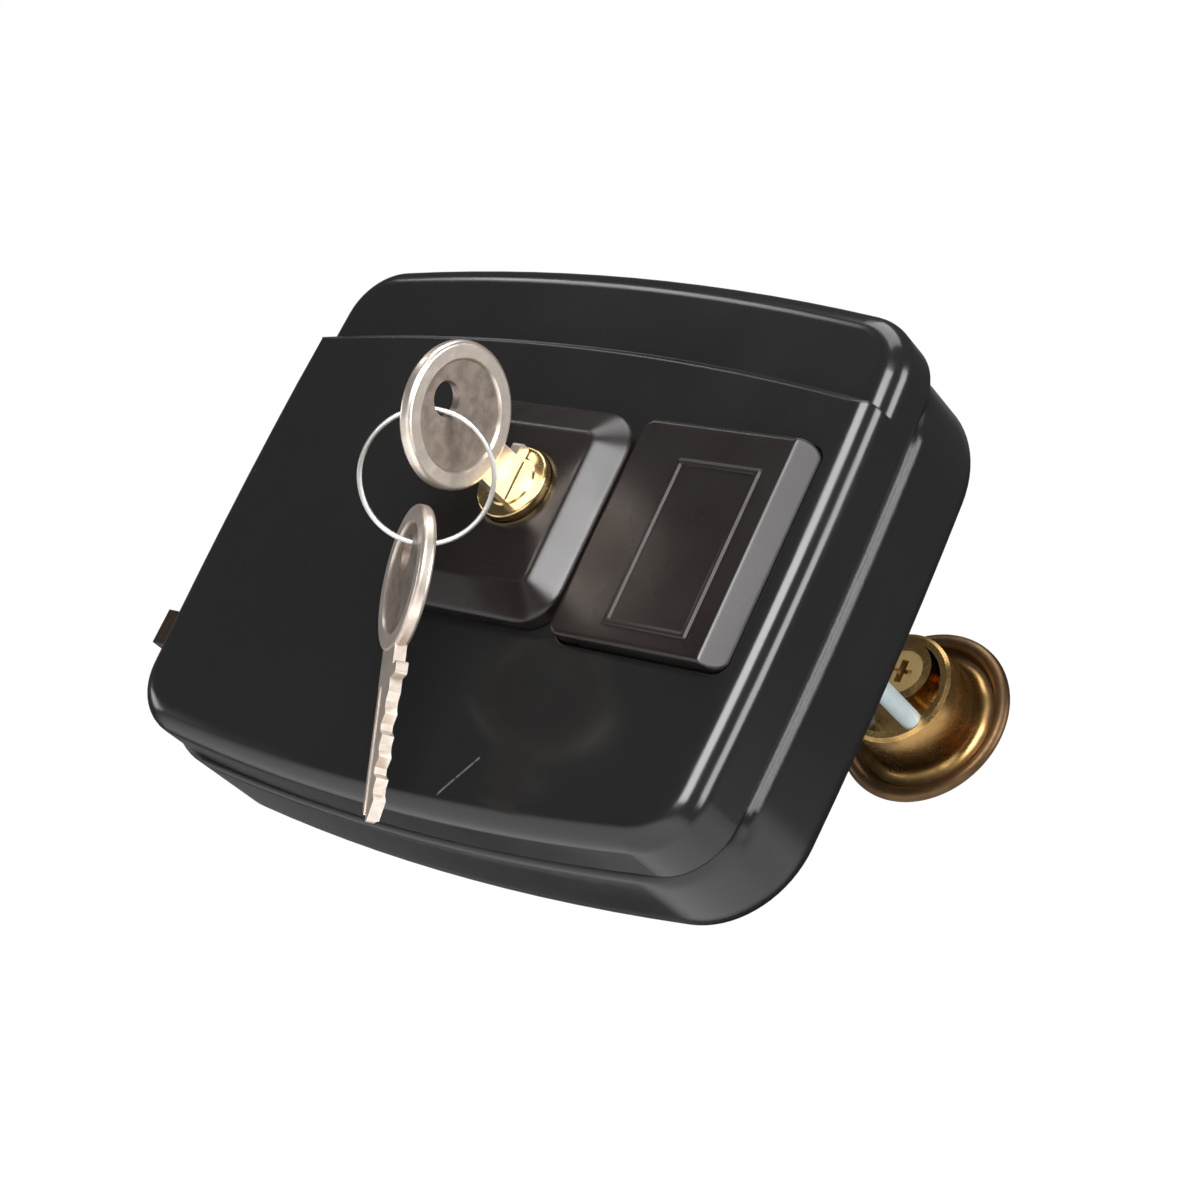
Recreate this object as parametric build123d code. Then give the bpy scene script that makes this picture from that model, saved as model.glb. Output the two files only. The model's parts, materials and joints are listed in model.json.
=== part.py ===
from build123d import *
import os
from math import atan, cos, degrees, pi, radians, sin, sqrt

# Surface-mounted electric lock. X runs to the right as seen from the room, Z is up,
# and Y runs into the door. The back of the case lies in the plane Y = 0, and Z = 0 is
# the middle of the latch bolt, a little above the middle of the case.
# All sizes are millimetres.

# Case, in two tiers with bowed edges
CASE_WIDTH = 137.5
CASE_CHORD = 99.0
CASE_DROP = 1.3
EDGE_BOW = 4.7
SIDE_BOW = 1.5
CASE_TOP_CORNER = 21.5
CASE_BOTTOM_CORNER = 18.5
BASE_DEPTH = 18.8
BASE_EDGE_RADIUS = 1.2
COVER_INSET_X = 2.75
COVER_INSET_Z = 0.4
COVER_CORNER = 11.8
COVER_DEPTH = 13.2
COVER_EDGE_RADIUS = 4.5
COVER_SHIFT_X = 1.8
COVER_RAISE = 0.2
STRIP_CHORD_Z = 30.2
STRIP_DROP = 3.0
STEP_BEVEL = 1.0
WALL = 1.6
LIP_LENGTH = 1.1
LIP_INSET = 0.9
CASE_FIT = 0.15

# Back plate and its holes
PLATE_THICK = 1.5
MOUNT_SPACING_X = 90.0
MOUNT_SPACING_Z = 78.0
MOUNT_HOLE_RADIUS = 2.75
POST_INSET_X = 11.75
POST_INSET_Z = 11.5
POST_RADIUS = 3.6
CABLE_HOLE_RADIUS = 6.0
CABLE_HOLE_X = 20.0
CABLE_HOLE_Z = 34.0

# Cover screws
SCREW_SHANK = 1.5
SCREW_HEAD = 2.8
SCREW_LENGTH = 12.0
SCREW_CLEAR = 0.08

# Raised boss that carries the inner cylinder
BOSS_LEFT = -12.0
BOSS_RIGHT = 26.4
BOSS_HALF_HEIGHT = 20.3
BOSS_STEP = 3.2
BOSS_RISE = 6.5
BOSS_SLOPE = 5.6
BOSS_CORNER = 7.5
BOSS_ROUND = 0.8
PEG_RADIUS = 1.6
PEG_INSET_X = 7.5
PEG_INSET_Z = 7.3
PEG_FIT = 0.15
CLIP_RADIUS = 3.6
CLIP_THICK = 0.8

# Push button
BUTTON_LEFT = 26.75
BUTTON_RIGHT = 62.2
BUTTON_CENTRE_Z = -0.2
BUTTON_HALF_HEIGHT = 20.7
BUTTON_RISE = 3.2
BUTTON_SLOPE = 3.6
BUTTON_CORNER = 2.4
BUTTON_ROUND = 0.8
BUTTON_FIT = 0.35
BUTTON_STROKE = 2.5
BUTTON_RIM = 1.4
BUTTON_RIM_THICK = 1.2
BUTTON_STEM_RADIUS = 2.0
FRAME_WIDTH = 17.0
FRAME_HEIGHT = 31.0
FRAME_BAR = 0.8
FRAME_RISE = 0.35
FRAME_CENTRE_X = 46.1
FRAME_CENTRE_Z = -2.0
TRAY_DEPTH = 10.0
TRAY_WALL = 1.4
SWITCH_SIZE_X = 12.0
SWITCH_SIZE_Z = 6.0
SWITCH_TALL = 5.5
SWITCH_TIP_RADIUS = 1.2

# Inner cylinder, with its plug and cam
CYL_X = 9.8
CYL_Z = 2.5
NOSE_RADIUS = 6.9
NOSE_RISE = 1.9
NOSE_ROUND = 0.4
CYL_BODY_RADIUS = 8.0
CYL_FIT = 0.2
PIN_LUG_WIDTH = 7.0
PIN_LUG_REACH = 13.5
CYL_LENGTH = 20.0
NUT_RADIUS = 11.0
NUT_THICK = 3.0
PLUG_RADIUS = 4.75
PLUG_FIT = 0.06
PLUG_PROUD = 0.3
PLUG_STUB_RADIUS = 3.0
KEYWAY_CLEAR = 0.25
CAM_HUB_RADIUS = 5.0
CAM_ARM = 12.0
CAM_REST = 30.0
CAM_FINGER = 4.0

# Latch bolt with its tail plate
LATCH_THROW = 12.0
LATCH_HEIGHT = 28.0
LATCH_THICK = 12.0
LATCH_BACK_Y = -3.0
LATCH_HEAD_LENGTH = 24.5
LATCH_BEVEL = 8.0
LATCH_FIT = 0.3
TAIL_THICK = 3.0
TAIL_BACK_Y = -5.0
TAIL_TOP = 12.5
TAIL_BOTTOM = -14.5
TAIL_RAIL = 2.5
CAM_GAP = 0.4
LUG_THICK = 3.2
NOTCH_DEPTH = 3.0
NOTCH_END_GAP = 3.4

# Arming plunger beside the latch
ARM_THROW = 8.0
ARM_HEIGHT = 7.2
ARM_THICK = 7.0
ARM_CENTRE_Z = -28.6
ARM_FRONT_Y = -18.0
ARM_LENGTH = 34.5
ARM_NOSE = 0.4

# Upright plates that guide and back the two bolts
GUIDE_GAP = 0.5
GUIDE_THICK = 1.5
GUIDE_TOP = 18.0
GUIDE_BOTTOM = -34.0
GUIDE_DEPTH = 20.0
GUIDE_FIT = 0.35
BRIDGE_X = -30.5

# Catch lever and solenoid
CATCH_X = -18.0
CATCH_Z = -22.0
CATCH_THICK = 3.0
CATCH_ARM = 13.5
CATCH_WIDTH = 4.0
CATCH_HUB_RADIUS = 3.8
CATCH_PIN_RADIUS = 1.5
CATCH_PIN_FIT = 0.06
ARMATURE_TRAVEL = 4.0
ARMATURE_RADIUS = 3.5
ARMATURE_FIT = 0.15
CROSS_PIN_RADIUS = 1.25
FORK_FIT = 0.4
YOKE_LEFT = -2.0
YOKE_LENGTH = 34.0
YOKE_WIDTH = 23.0
YOKE_THICK = 1.6
COIL_RADIUS = 10.0
BOBBIN_FLANGE = 1.4
BOBBIN_CORE = 4.6
POLE_LENGTH = 10.0
COLLAR_RADIUS = 5.2
COLLAR_THICK = 1.2
COLLAR_PLACE = 4.5

# Terminal block
TERMINAL_X = 46.0
TERMINAL_Z = -27.0
TERMINAL_LENGTH = 16.0
TERMINAL_WIDTH = 10.0
TERMINAL_TALL = 10.0
TERMINAL_PITCH = 8.0
TERMINAL_SCREW = 2.0
TERMINAL_BORE = 4.0
WIRE_SLOT_HALF = 1.6
WIRE_SLOT_DROP = 4.5
WIRE_SLOT_TALL = 3.2

# Outer cylinder on the far side of the door
OUT_X = 45.0
OUT_Z = 8.8
DOOR_THICK = 46.0
OUT_BODY_RADIUS = 11.0
OUT_BODY_LENGTH = 11.0
OUT_RIM_RADIUS = 17.1
OUT_RIM_ROLL = 1.5
OUT_DISH_DEPTH = 2.2
OUT_DOME_RISE = 3.4
OUT_FILLET = 2.6
OUT_PLUG_RISE = 3.3
OUT_PLUG_RADIUS = 4.3
OUT_HOUSING_RADIUS = 6.0
OUT_POCKET_WALL = 1.8
OUT_POCKET_DEPTH = 5.0
TIE_SPREAD = 6.2
TIE_DROP = 5.6
TIE_RADIUS = 1.85
TIE_HEAD_RADIUS = 3.4
TIE_HEAD_TALL = 2.4
TIE_BITE = 9.0
TIE_CLEAR = 0.08
BAR_WIDTH = 4.4
BAR_THICK = 1.4
BAR_SEAT = 4.0
BAR_END_GAP = 4.2
HUB_COLLAR_RADIUS = 4.6
HUB_FIT = 0.08
STRAP_WIDTH = 7.0
STRAP_REACH = 9.0
STRAP_THICK = 1.2

# Keys and their ring
BOW_RADIUS = 12.4
BOW_RAISE = 1.9
BOW_THICK = 2.4
BOW_ROUND = 0.8
BOW_RIM = 2.8
BOW_RECESS = 0.45
BOW_HOLE_RADIUS = 3.0
BOW_HOLE_OUT = 4.3
BOW_HOLE_UP = 0.6
NECK_LENGTH = 5.3
NECK_WIDTH = 7.6
SHOULDER_REACH = 6.2
SHOULDER_LENGTH = 2.2
BLADE_LENGTH = 23.1
BLADE_WIDTH = 7.0
BLADE_THICK = 2.0
BLADE_GROOVE = 0.5
BLADE_GROOVE_WIDTH = 1.3
BITTING = (1.0, 2.2, 1.4, 2.6, 1.6)
CUT_PITCH = 3.6
CUT_FLAT = 1.1
CUT_FIRST = 4.2
TIP_BEVEL = 2.6
RING_RADIUS = 11.0
WIRE_RADIUS = 0.45
WIRE_SIDES = 12
WIRE_SEAT = 2.0
RING_TURN = 42.1
RING_DIP = 16.7
RING_LEAN = 15.7
HANG_LEAN = 17.4
HANG_SWING = 7.6
SPARE_TURN = 37.5

# Springs, with wires of eight sides
LATCH_WIRE = 0.5
LATCH_COIL = 4.0
LATCH_TURNS = 5
ARM_WIRE = 0.4
ARM_COIL = 2.6
ARM_TURNS = 4
BUTTON_WIRE = 0.35
BUTTON_COIL = 3.6
BUTTON_TURNS = 3
CATCH_WIRE = 0.35
CATCH_COIL = 4.3
CATCH_TURNS = 3
SPRING_SIDES = 8
SPRING_SEAT = 0.15

# Planes and places that follow from the sizes above
COVER_WIDTH = CASE_WIDTH - 2 * COVER_INSET_X
COVER_CHORD = CASE_CHORD - 2 * COVER_INSET_Z
COVER_Z = COVER_RAISE - CASE_DROP
COVER_LEFT = COVER_SHIFT_X - COVER_WIDTH / 2
POST_SPACING_X = CASE_WIDTH - 2 * POST_INSET_X
POST_SPACING_Z = CASE_CHORD - 2 * POST_INSET_Z
BASE_Y = -BASE_DEPTH
FACE_Y = BASE_Y - COVER_DEPTH
STRIP_Y = FACE_Y + STRIP_DROP
BOSS_Y = FACE_Y - BOSS_RISE
BUTTON_Y = FACE_Y - BUTTON_RISE
NOSE_Y = BOSS_Y - NOSE_RISE
PLATE_Y = -PLATE_THICK
INNER_FACE_Y = FACE_Y + WALL
TAIL_FRONT_Y = TAIL_BACK_Y - TAIL_THICK
LATCH_FRONT_Y = LATCH_BACK_Y - LATCH_THICK
LATCH_TIP_X = -CASE_WIDTH / 2 - LATCH_THROW
LATCH_HEEL_X = LATCH_TIP_X + LATCH_HEAD_LENGTH
GUIDE_X = COVER_LEFT + WALL + SIDE_BOW + GUIDE_GAP
ARM_TIP_X = LATCH_TIP_X
ARM_HEEL_X = ARM_TIP_X + ARM_LENGTH
ARM_MID_Y = ARM_FRONT_Y + ARM_THICK / 2
COIL_Y = PLATE_Y - YOKE_THICK - YOKE_WIDTH / 2 + 1.0
COIL_Z = CATCH_Z - CATCH_ARM
PLUG_FRONT_Y = NOSE_Y - PLUG_PROUD
CYL_BACK_Y = INNER_FACE_Y + CYL_LENGTH
HUB_X = OUT_X
HUB_Z = OUT_Z + OUT_PLUG_RISE
OUT_FACE_Y = DOOR_THICK - OUT_BODY_LENGTH
BUTTON_X = (BUTTON_LEFT + BUTTON_RIGHT) / 2
TRAY_FLOOR_Y = INNER_FACE_Y + TRAY_DEPTH


def block(x0, x1, y0, y1, z0, z1):
    """A box between two corners."""
    return Pos((x0 + x1) / 2, (y0 + y1) / 2, (z0 + z1) / 2) * Box(x1 - x0, y1 - y0, z1 - z0)


def rod_y(x, z, radius, y0, y1):
    """A round bar along Y."""
    return Pos(x, (y0 + y1) / 2, z) * Rot(90, 0, 0) * Cylinder(radius, y1 - y0)


def rod_x(y, z, radius, x0, x1):
    """A round bar along X."""
    return Pos((x0 + x1) / 2, y, z) * Rot(0, 90, 0) * Cylinder(radius, x1 - x0)


def slab(sketch, back, front):
    """A sketch drawn in X and Z, thickened from the depth back towards the room."""
    return extrude(Plane.XZ.offset(-back) * sketch, back - front)


def front_edges(solid):
    """The edges of the face nearest the room."""
    return solid.faces().sort_by(Axis.Y)[0].edges()


def grid(spacing_x, spacing_z):
    """The four corners of a hole pattern centred on the case."""
    return [(a * spacing_x / 2, b * spacing_z / 2) for a in (-1, 1) for b in (-1, 1)]


def bowed_outline(width, chord, top_corner, bottom_corner):
    """A rectangle whose edges bow outwards, with rounded corners."""
    a = width / 2
    b = chord / 2
    c = a - SIDE_BOW
    top = ThreePointArc((-c, b), (0, b + EDGE_BOW), (c, b))
    right = ThreePointArc((c, b), (a, 0), (c, -b))
    bottom = ThreePointArc((c, -b), (0, -b - EDGE_BOW), (-c, -b))
    left = ThreePointArc((-c, -b), (-a, 0), (-c, b))
    face = make_face([top, right, bottom, left])
    face = fillet(face.vertices().sort_by(Axis.Y)[2:], top_corner)
    return fillet(face.vertices().sort_by(Axis.Y)[:2], bottom_corner)


def case_outline(inset):
    """The outline of the base tier, drawn in by inset."""
    width = CASE_WIDTH - 2 * inset
    chord = CASE_CHORD - 2 * inset
    outline = bowed_outline(width, chord, CASE_TOP_CORNER - inset, CASE_BOTTOM_CORNER - inset)
    return Pos(0, -CASE_DROP) * outline


def cover_outline(inset):
    """The outline of the front tier, drawn in by inset."""
    width = COVER_WIDTH - 2 * inset
    chord = COVER_CHORD - 2 * inset
    outline = bowed_outline(width, chord, COVER_CORNER - inset, COVER_CORNER - inset)
    return Pos(COVER_SHIFT_X, COVER_Z) * outline


def below_step(inset):
    """The region below the bowed step that crosses the front tier, drawn in by inset."""
    a = COVER_WIDTH
    slope = EDGE_BOW * 4
    z = STRIP_CHORD_Z - inset
    arc = ThreePointArc((-a, z + EDGE_BOW - slope), (0, z + EDGE_BOW), (a, z + EDGE_BOW - slope))
    floor = -COVER_CHORD
    sides = Polyline((a, z + EDGE_BOW - slope), (a, floor), (-a, floor), (-a, z + EDGE_BOW - slope))
    return Pos(COVER_SHIFT_X, 0) * make_face([arc, sides])


def step_block(inset):
    """All that lies below the step, with a bevel along the step's edge."""
    foot = FACE_Y + STEP_BEVEL + inset
    region = below_step(inset)
    bevel = extrude(Plane.XZ.offset(-foot) * region, 2 * STEP_BEVEL, taper=45)
    return slab(region, BASE_Y, foot) + bevel


def cover_form(inset):
    """The solid of the front tier, drawn in by inset on its face and sides."""
    radius = COVER_EDGE_RADIUS - inset
    low = slab(cover_outline(inset), BASE_Y, STRIP_Y + inset)
    high = slab(cover_outline(inset), BASE_Y, FACE_Y + inset)
    low = fillet(front_edges(low), radius)
    high = fillet(front_edges(high), radius)
    return low + (high & step_block(inset))


def bolt_window(middle_z, height, front, back):
    """The space in the left wall that a bolt slides through."""
    left = -CASE_WIDTH / 2 - 1
    right = COVER_LEFT + 2 * WALL + SIDE_BOW
    half = height / 2 + GUIDE_FIT
    return block(left, right, front - GUIDE_FIT, back + GUIDE_FIT, middle_z - half, middle_z + half)


def plunger_window():
    """The arming plunger's space in the left wall."""
    return bolt_window(ARM_CENTRE_Z, ARM_HEIGHT, ARM_FRONT_Y, ARM_FRONT_Y + ARM_THICK)


def rear_case():
    """The base tier: a bowed tube with a front web that the cover stands on."""
    body = slab(case_outline(0), 0, BASE_Y)
    body = fillet(front_edges(body), BASE_EDGE_RADIUS)
    body -= slab(case_outline(WALL), 0, BASE_Y + WALL)
    mouth = cover_outline(LIP_INSET - CASE_FIT) & case_outline(WALL / 2)
    body -= slab(mouth, BASE_Y + 2 * WALL, BASE_Y - 1)
    body -= bolt_window(0, LATCH_HEIGHT, LATCH_FRONT_Y, LATCH_BACK_Y)
    return body - plunger_window()


def button_opening(gap):
    """The outline of the push button in X and Z, widened by gap."""
    width = BUTTON_RIGHT - BUTTON_LEFT + 2 * gap
    height = 2 * BUTTON_HALF_HEIGHT + 2 * gap
    return Pos(BUTTON_X, BUTTON_CENTRE_Z) * RectangleRounded(width, height, BUTTON_CORNER + gap)


def boss_pegs():
    """The places of the boss's two pegs."""
    x = BOSS_LEFT + PEG_INSET_X
    z = BOSS_HALF_HEIGHT - PEG_INSET_Z
    return [(x, -z), (x, z)]


def front_cover():
    """The front tier: a shell whose corners, wider than the base's, are closed behind."""
    body = cover_form(0) - cover_form(WALL)
    body += slab(cover_outline(WALL / 2) - case_outline(WALL), BASE_Y, BASE_Y - WALL)
    lip = cover_outline(LIP_INSET) & case_outline(WALL / 2 + CASE_FIT)
    body += slab(lip - cover_outline(WALL), BASE_Y + LIP_LENGTH, BASE_Y) - plunger_window()
    for x, z in grid(POST_SPACING_X, POST_SPACING_Z):
        face = STRIP_Y if z > 0 else FACE_Y
        post = rod_y(x, z, POST_RADIUS, face + WALL / 2, PLATE_Y)
        body += post - rod_y(x, z, SCREW_SHANK + SCREW_CLEAR, PLATE_Y - SCREW_LENGTH, PLATE_Y)
    body -= slab(button_opening(BUTTON_FIT), INNER_FACE_Y + 1, FACE_Y - 1)
    body -= rod_y(CYL_X, CYL_Z, CYL_BODY_RADIUS + CYL_FIT, FACE_Y - 1, INNER_FACE_Y + 1)
    for x, z in boss_pegs():
        body -= rod_y(x, z, PEG_RADIUS + PEG_FIT, FACE_Y - 1, INNER_FACE_Y + 1)
    return body


def boss_form(inset):
    """The boss's solid, upright walls under a wide bevel, drawn in by inset."""
    width = BOSS_RIGHT - BOSS_LEFT - 2 * inset
    height = 2 * (BOSS_HALF_HEIGHT - inset)
    middle = (BOSS_LEFT + BOSS_RIGHT) / 2
    foot = Pos(middle, 0) * RectangleRounded(width, height, BOSS_CORNER - inset)
    lean = BOSS_SLOPE / (BOSS_RISE - BOSS_STEP)
    rise = BOSS_STEP + inset * (1 - sqrt(1 + lean * lean)) / lean
    walls = slab(foot, FACE_Y, FACE_Y - rise)
    bevel = extrude(
        Plane.XZ.offset(rise - FACE_Y) * foot, BOSS_RISE - inset - rise, taper=degrees(atan(lean))
    )
    return walls + bevel


def cylinder_boss():
    """The raised moulding round the inner cylinder, bevelled down to the button."""
    body = fillet(front_edges(boss_form(0)), BOSS_ROUND)
    body -= boss_form(WALL)
    body -= rod_y(CYL_X, CYL_Z, NOSE_RADIUS + CYL_FIT, BOSS_Y - 1, FACE_Y)
    for x, z in boss_pegs():
        body += rod_y(x, z, PEG_RADIUS, BOSS_Y + WALL / 2, INNER_FACE_Y + 2 * CLIP_THICK)
    return body


def boss_clips():
    """Two push-on washers that hold the boss's pegs behind the cover."""
    clips = []
    for x, z in boss_pegs():
        disc = rod_y(x, z, CLIP_RADIUS, INNER_FACE_Y, INNER_FACE_Y + CLIP_THICK)
        clips.append(disc - rod_y(x, z, PEG_RADIUS + PEG_FIT / 2, FACE_Y, 0))
    return Compound(children=clips)


def push_button():
    """The push plate, with a slope on its right side, a plain raised frame and a rim."""
    body = slab(button_opening(0), INNER_FACE_Y + BUTTON_RIM_THICK, BUTTON_Y)
    wedge = Polyline(
        (BUTTON_RIGHT - BUTTON_SLOPE, BUTTON_Y),
        (BUTTON_RIGHT - BUTTON_SLOPE, BUTTON_Y - 1),
        (BUTTON_RIGHT + 1, BUTTON_Y - 1),
        (BUTTON_RIGHT + 1, FACE_Y),
        (BUTTON_RIGHT, FACE_Y),
        close=True,
    )
    tall = 2 * BUTTON_HALF_HEIGHT + 2
    body -= extrude(Pos(0, 0, -tall / 2) * make_face(wedge), tall)
    body = fillet(front_edges(body), BUTTON_ROUND)
    hollow = slab(button_opening(-WALL), INNER_FACE_Y + BUTTON_RIM_THICK, BUTTON_Y + WALL)
    right = BUTTON_RIGHT - BUTTON_SLOPE - WALL
    hollow &= block(BUTTON_LEFT, right, BUTTON_Y, 0, -tall, tall)
    body -= hollow
    ledge = button_opening(BUTTON_RIM) - button_opening(-WALL)
    rim = slab(ledge, INNER_FACE_Y + BUTTON_RIM_THICK, INNER_FACE_Y)
    body += Pos(0, SPRING_SEAT, 0) * rim
    body += rod_y(BUTTON_X, 0, BUTTON_STEM_RADIUS, BUTTON_Y + WALL / 2, stem_end())
    ring = Rectangle(FRAME_WIDTH, FRAME_HEIGHT) - Rectangle(
        FRAME_WIDTH - 2 * FRAME_BAR, FRAME_HEIGHT - 2 * FRAME_BAR
    )
    frame = Pos(FRAME_CENTRE_X, FRAME_CENTRE_Z) * ring
    return body + slab(frame, BUTTON_Y + WALL / 2, BUTTON_Y - FRAME_RISE)


def stem_end():
    """How deep the button's stem reaches at rest."""
    return TRAY_FLOOR_Y - TRAY_WALL - BUTTON_STROKE - 0.4


def button_tray():
    """A tray behind the button that holds its spring and its switch."""
    gap = BUTTON_RIM + BUTTON_FIT
    outer = slab(button_opening(gap + TRAY_WALL), TRAY_FLOOR_Y, INNER_FACE_Y)
    outer &= cover_form(WALL + CASE_FIT)
    inner = slab(button_opening(gap), TRAY_FLOOR_Y - TRAY_WALL, INNER_FACE_Y)
    hole = rod_y(BUTTON_X, 0, SWITCH_TIP_RADIUS + BUTTON_FIT, INNER_FACE_Y, 0)
    return outer - inner - hole


def button_switch():
    """The switch that the button's stem presses."""
    half_x = SWITCH_SIZE_X / 2
    half_z = SWITCH_SIZE_Z / 2
    back = TRAY_FLOOR_Y + SWITCH_TALL
    body = block(BUTTON_X - half_x, BUTTON_X + half_x, TRAY_FLOOR_Y, back, -half_z, half_z)
    body = fillet(body.edges().filter_by(Axis.Y), 0.6)
    body += rod_y(BUTTON_X, 0, SWITCH_TIP_RADIUS, TRAY_FLOOR_Y - TRAY_WALL - 0.2, TRAY_FLOOR_Y + 1)
    for side in (-1, 1):
        x = BUTTON_X + side * half_x * 0.6
        body += block(x - 0.4, x + 0.4, back, back + 2, -1, 1)
    return body


def back_plate():
    """The steel plate that closes the back and carries the mechanism."""
    body = slab(case_outline(WALL + CASE_FIT), 0, PLATE_Y)
    for x, z in grid(MOUNT_SPACING_X, MOUNT_SPACING_Z):
        body -= rod_y(x, z, MOUNT_HOLE_RADIUS, PLATE_Y - 1, 1)
    for x, z in grid(POST_SPACING_X, POST_SPACING_Z):
        body -= rod_y(x, z, SCREW_SHANK + 2 * SCREW_CLEAR, PLATE_Y - 1, 1)
        body -= sunk_head(x, z, SCREW_CLEAR)
    body -= rod_y(CABLE_HOLE_X, CABLE_HOLE_Z, CABLE_HOLE_RADIUS, PLATE_Y - 1, 1)
    body -= rod_y(HUB_X, HUB_Z, HUB_COLLAR_RADIUS + HUB_FIT, PLATE_Y - 1, 1)
    for x, z in tie_places():
        body -= rod_y(x, z, TIE_RADIUS + 4 * TIE_CLEAR, PLATE_Y - 1, 1)
    return body


def sunk_head(x, z, gap):
    """The cone of a countersunk head, widened by gap."""
    tall = SCREW_HEAD - SCREW_SHANK
    cone = Rot(-90, 0, 0) * Cone(SCREW_SHANK + gap, SCREW_HEAD + gap, tall)
    return Pos(x, -tall / 2, z) * cone


def cover_screws():
    """Four countersunk screws that pull the cover's posts onto the back plate."""
    screws = []
    for x, z in grid(POST_SPACING_X, POST_SPACING_Z):
        head = sunk_head(x, z, 0)
        head -= block(x - 0.35, x + 0.35, -0.8, 1, z - 2 * SCREW_HEAD, z + 2 * SCREW_HEAD)
        screws.append(head + rod_y(x, z, SCREW_SHANK, PLATE_Y - SCREW_LENGTH + 1, -0.8))
    return Compound(children=screws)


def cam_lugs(x, z):
    """The two lugs of the tail plate that stand each side of a cam's finger."""
    tip = x - CAM_ARM * sin(radians(CAM_REST))
    low = z - CAM_ARM - CAM_FINGER / 2 - CAM_GAP
    high = z - CAM_ARM * cos(radians(CAM_REST)) - CAM_GAP
    near = CAM_FINGER / 2 + CAM_GAP
    far = near + LUG_THICK
    left = block(tip - far, tip - near, TAIL_FRONT_Y, TAIL_BACK_Y, low - 1, high)
    right = block(tip + near, tip + far, TAIL_FRONT_Y, TAIL_BACK_Y, low - 1, high)
    return left + right


def latch_bolt():
    """The bevelled bolt with the tail plate that the two cams push."""
    half = LATCH_HEIGHT / 2
    head = block(LATCH_TIP_X, LATCH_HEEL_X, LATCH_FRONT_Y, LATCH_BACK_Y, -half, half)
    wedge = Polyline(
        (LATCH_TIP_X - 1, LATCH_BACK_Y + 1),
        (LATCH_TIP_X + LATCH_THROW - 1, LATCH_BACK_Y + 1),
        (LATCH_TIP_X + LATCH_THROW - 1, LATCH_BACK_Y),
        (LATCH_TIP_X, LATCH_BACK_Y - LATCH_BEVEL),
        (LATCH_TIP_X - 1, LATCH_BACK_Y - LATCH_BEVEL),
        close=True,
    )
    head -= extrude(Pos(0, 0, -half - 1) * make_face(wedge), LATCH_HEIGHT + 2)
    front = head.edges().filter_by(Axis.Z).sort_by(Axis.X)[:1]
    head = fillet(front, 1.2)
    inner_right = CYL_X + CAM_HUB_RADIUS + 1 + LUG_THICK
    outer_right = HUB_X - CAM_ARM / 2 + CAM_FINGER / 2 + CAM_GAP + LUG_THICK
    tail = block(LATCH_HEEL_X - 2, inner_right, TAIL_FRONT_Y, TAIL_BACK_Y, TAIL_BOTTOM, TAIL_TOP)
    low = CYL_Z - CAM_ARM - CAM_FINGER / 2 - CAM_GAP
    left = CYL_X - CAM_HUB_RADIUS - LATCH_THROW - CAM_GAP
    window = block(left, inner_right - LUG_THICK, TAIL_FRONT_Y - 1, 0, low, TAIL_TOP - TAIL_RAIL)
    tail -= fillet(window.edges().filter_by(Axis.Y), 1.0)
    arm = block(inner_right - 1, outer_right, TAIL_FRONT_Y, TAIL_BACK_Y, TAIL_BOTTOM, low)
    raised_left = outer_right - 2 * LUG_THICK - CAM_FINGER - 2 * CAM_GAP
    rise = HUB_Z - CAM_ARM - CAM_FINGER / 2 - CAM_GAP
    arm += block(raised_left, outer_right, TAIL_FRONT_Y, TAIL_BACK_Y, TAIL_BOTTOM, rise)
    tail += arm
    tail += cam_lugs(CYL_X, CYL_Z)
    tail += cam_lugs(HUB_X, HUB_Z)
    notch = LATCH_THROW / 2 + CATCH_WIDTH / 2 + NOTCH_END_GAP
    middle = CATCH_X - LATCH_THROW / 2
    notch_top = TAIL_BOTTOM + NOTCH_DEPTH
    tail -= block(middle - notch, middle + notch, TAIL_FRONT_Y - 1, 0, TAIL_BOTTOM - 1, notch_top)
    return head + tail


def arming_plunger():
    """The small bolt that the strike pushes in when the door shuts."""
    half = ARM_HEIGHT / 2
    low = ARM_CENTRE_Z - half
    body = block(ARM_TIP_X, ARM_HEEL_X, ARM_FRONT_Y, ARM_FRONT_Y + ARM_THICK, low, low + ARM_HEIGHT)
    nose = body.faces().sort_by(Axis.X)[0].edges()
    return chamfer(nose, ARM_NOSE)


def guide_plate():
    """An upright plate just inside the case wall, with a hole for each bolt."""
    x0 = GUIDE_X
    x1 = GUIDE_X + GUIDE_THICK
    body = block(x0, x1, PLATE_Y - GUIDE_DEPTH, PLATE_Y, GUIDE_BOTTOM, GUIDE_TOP)
    gap = GUIDE_FIT
    half = LATCH_HEIGHT / 2 + gap
    body -= block(x0 - 1, x1 + 1, LATCH_FRONT_Y - gap, LATCH_BACK_Y + gap, -half, half)
    half = ARM_HEIGHT / 2 + gap
    low = ARM_CENTRE_Z - half
    high = ARM_CENTRE_Z + half
    return body - block(x0 - 1, x1 + 1, ARM_FRONT_Y - gap, ARM_FRONT_Y + ARM_THICK + gap, low, high)


def spring_bridge():
    """An upright plate over the tail plate that both bolt springs push against."""
    x0 = BRIDGE_X - GUIDE_THICK
    body = block(x0, BRIDGE_X, PLATE_Y - GUIDE_DEPTH, PLATE_Y, GUIDE_BOTTOM, GUIDE_TOP)
    gap = 2 * GUIDE_FIT
    low = TAIL_BOTTOM - gap
    high = TAIL_TOP + gap
    return body - block(x0 - 1, BRIDGE_X + 1, TAIL_FRONT_Y - gap, 0, low, high)


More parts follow.
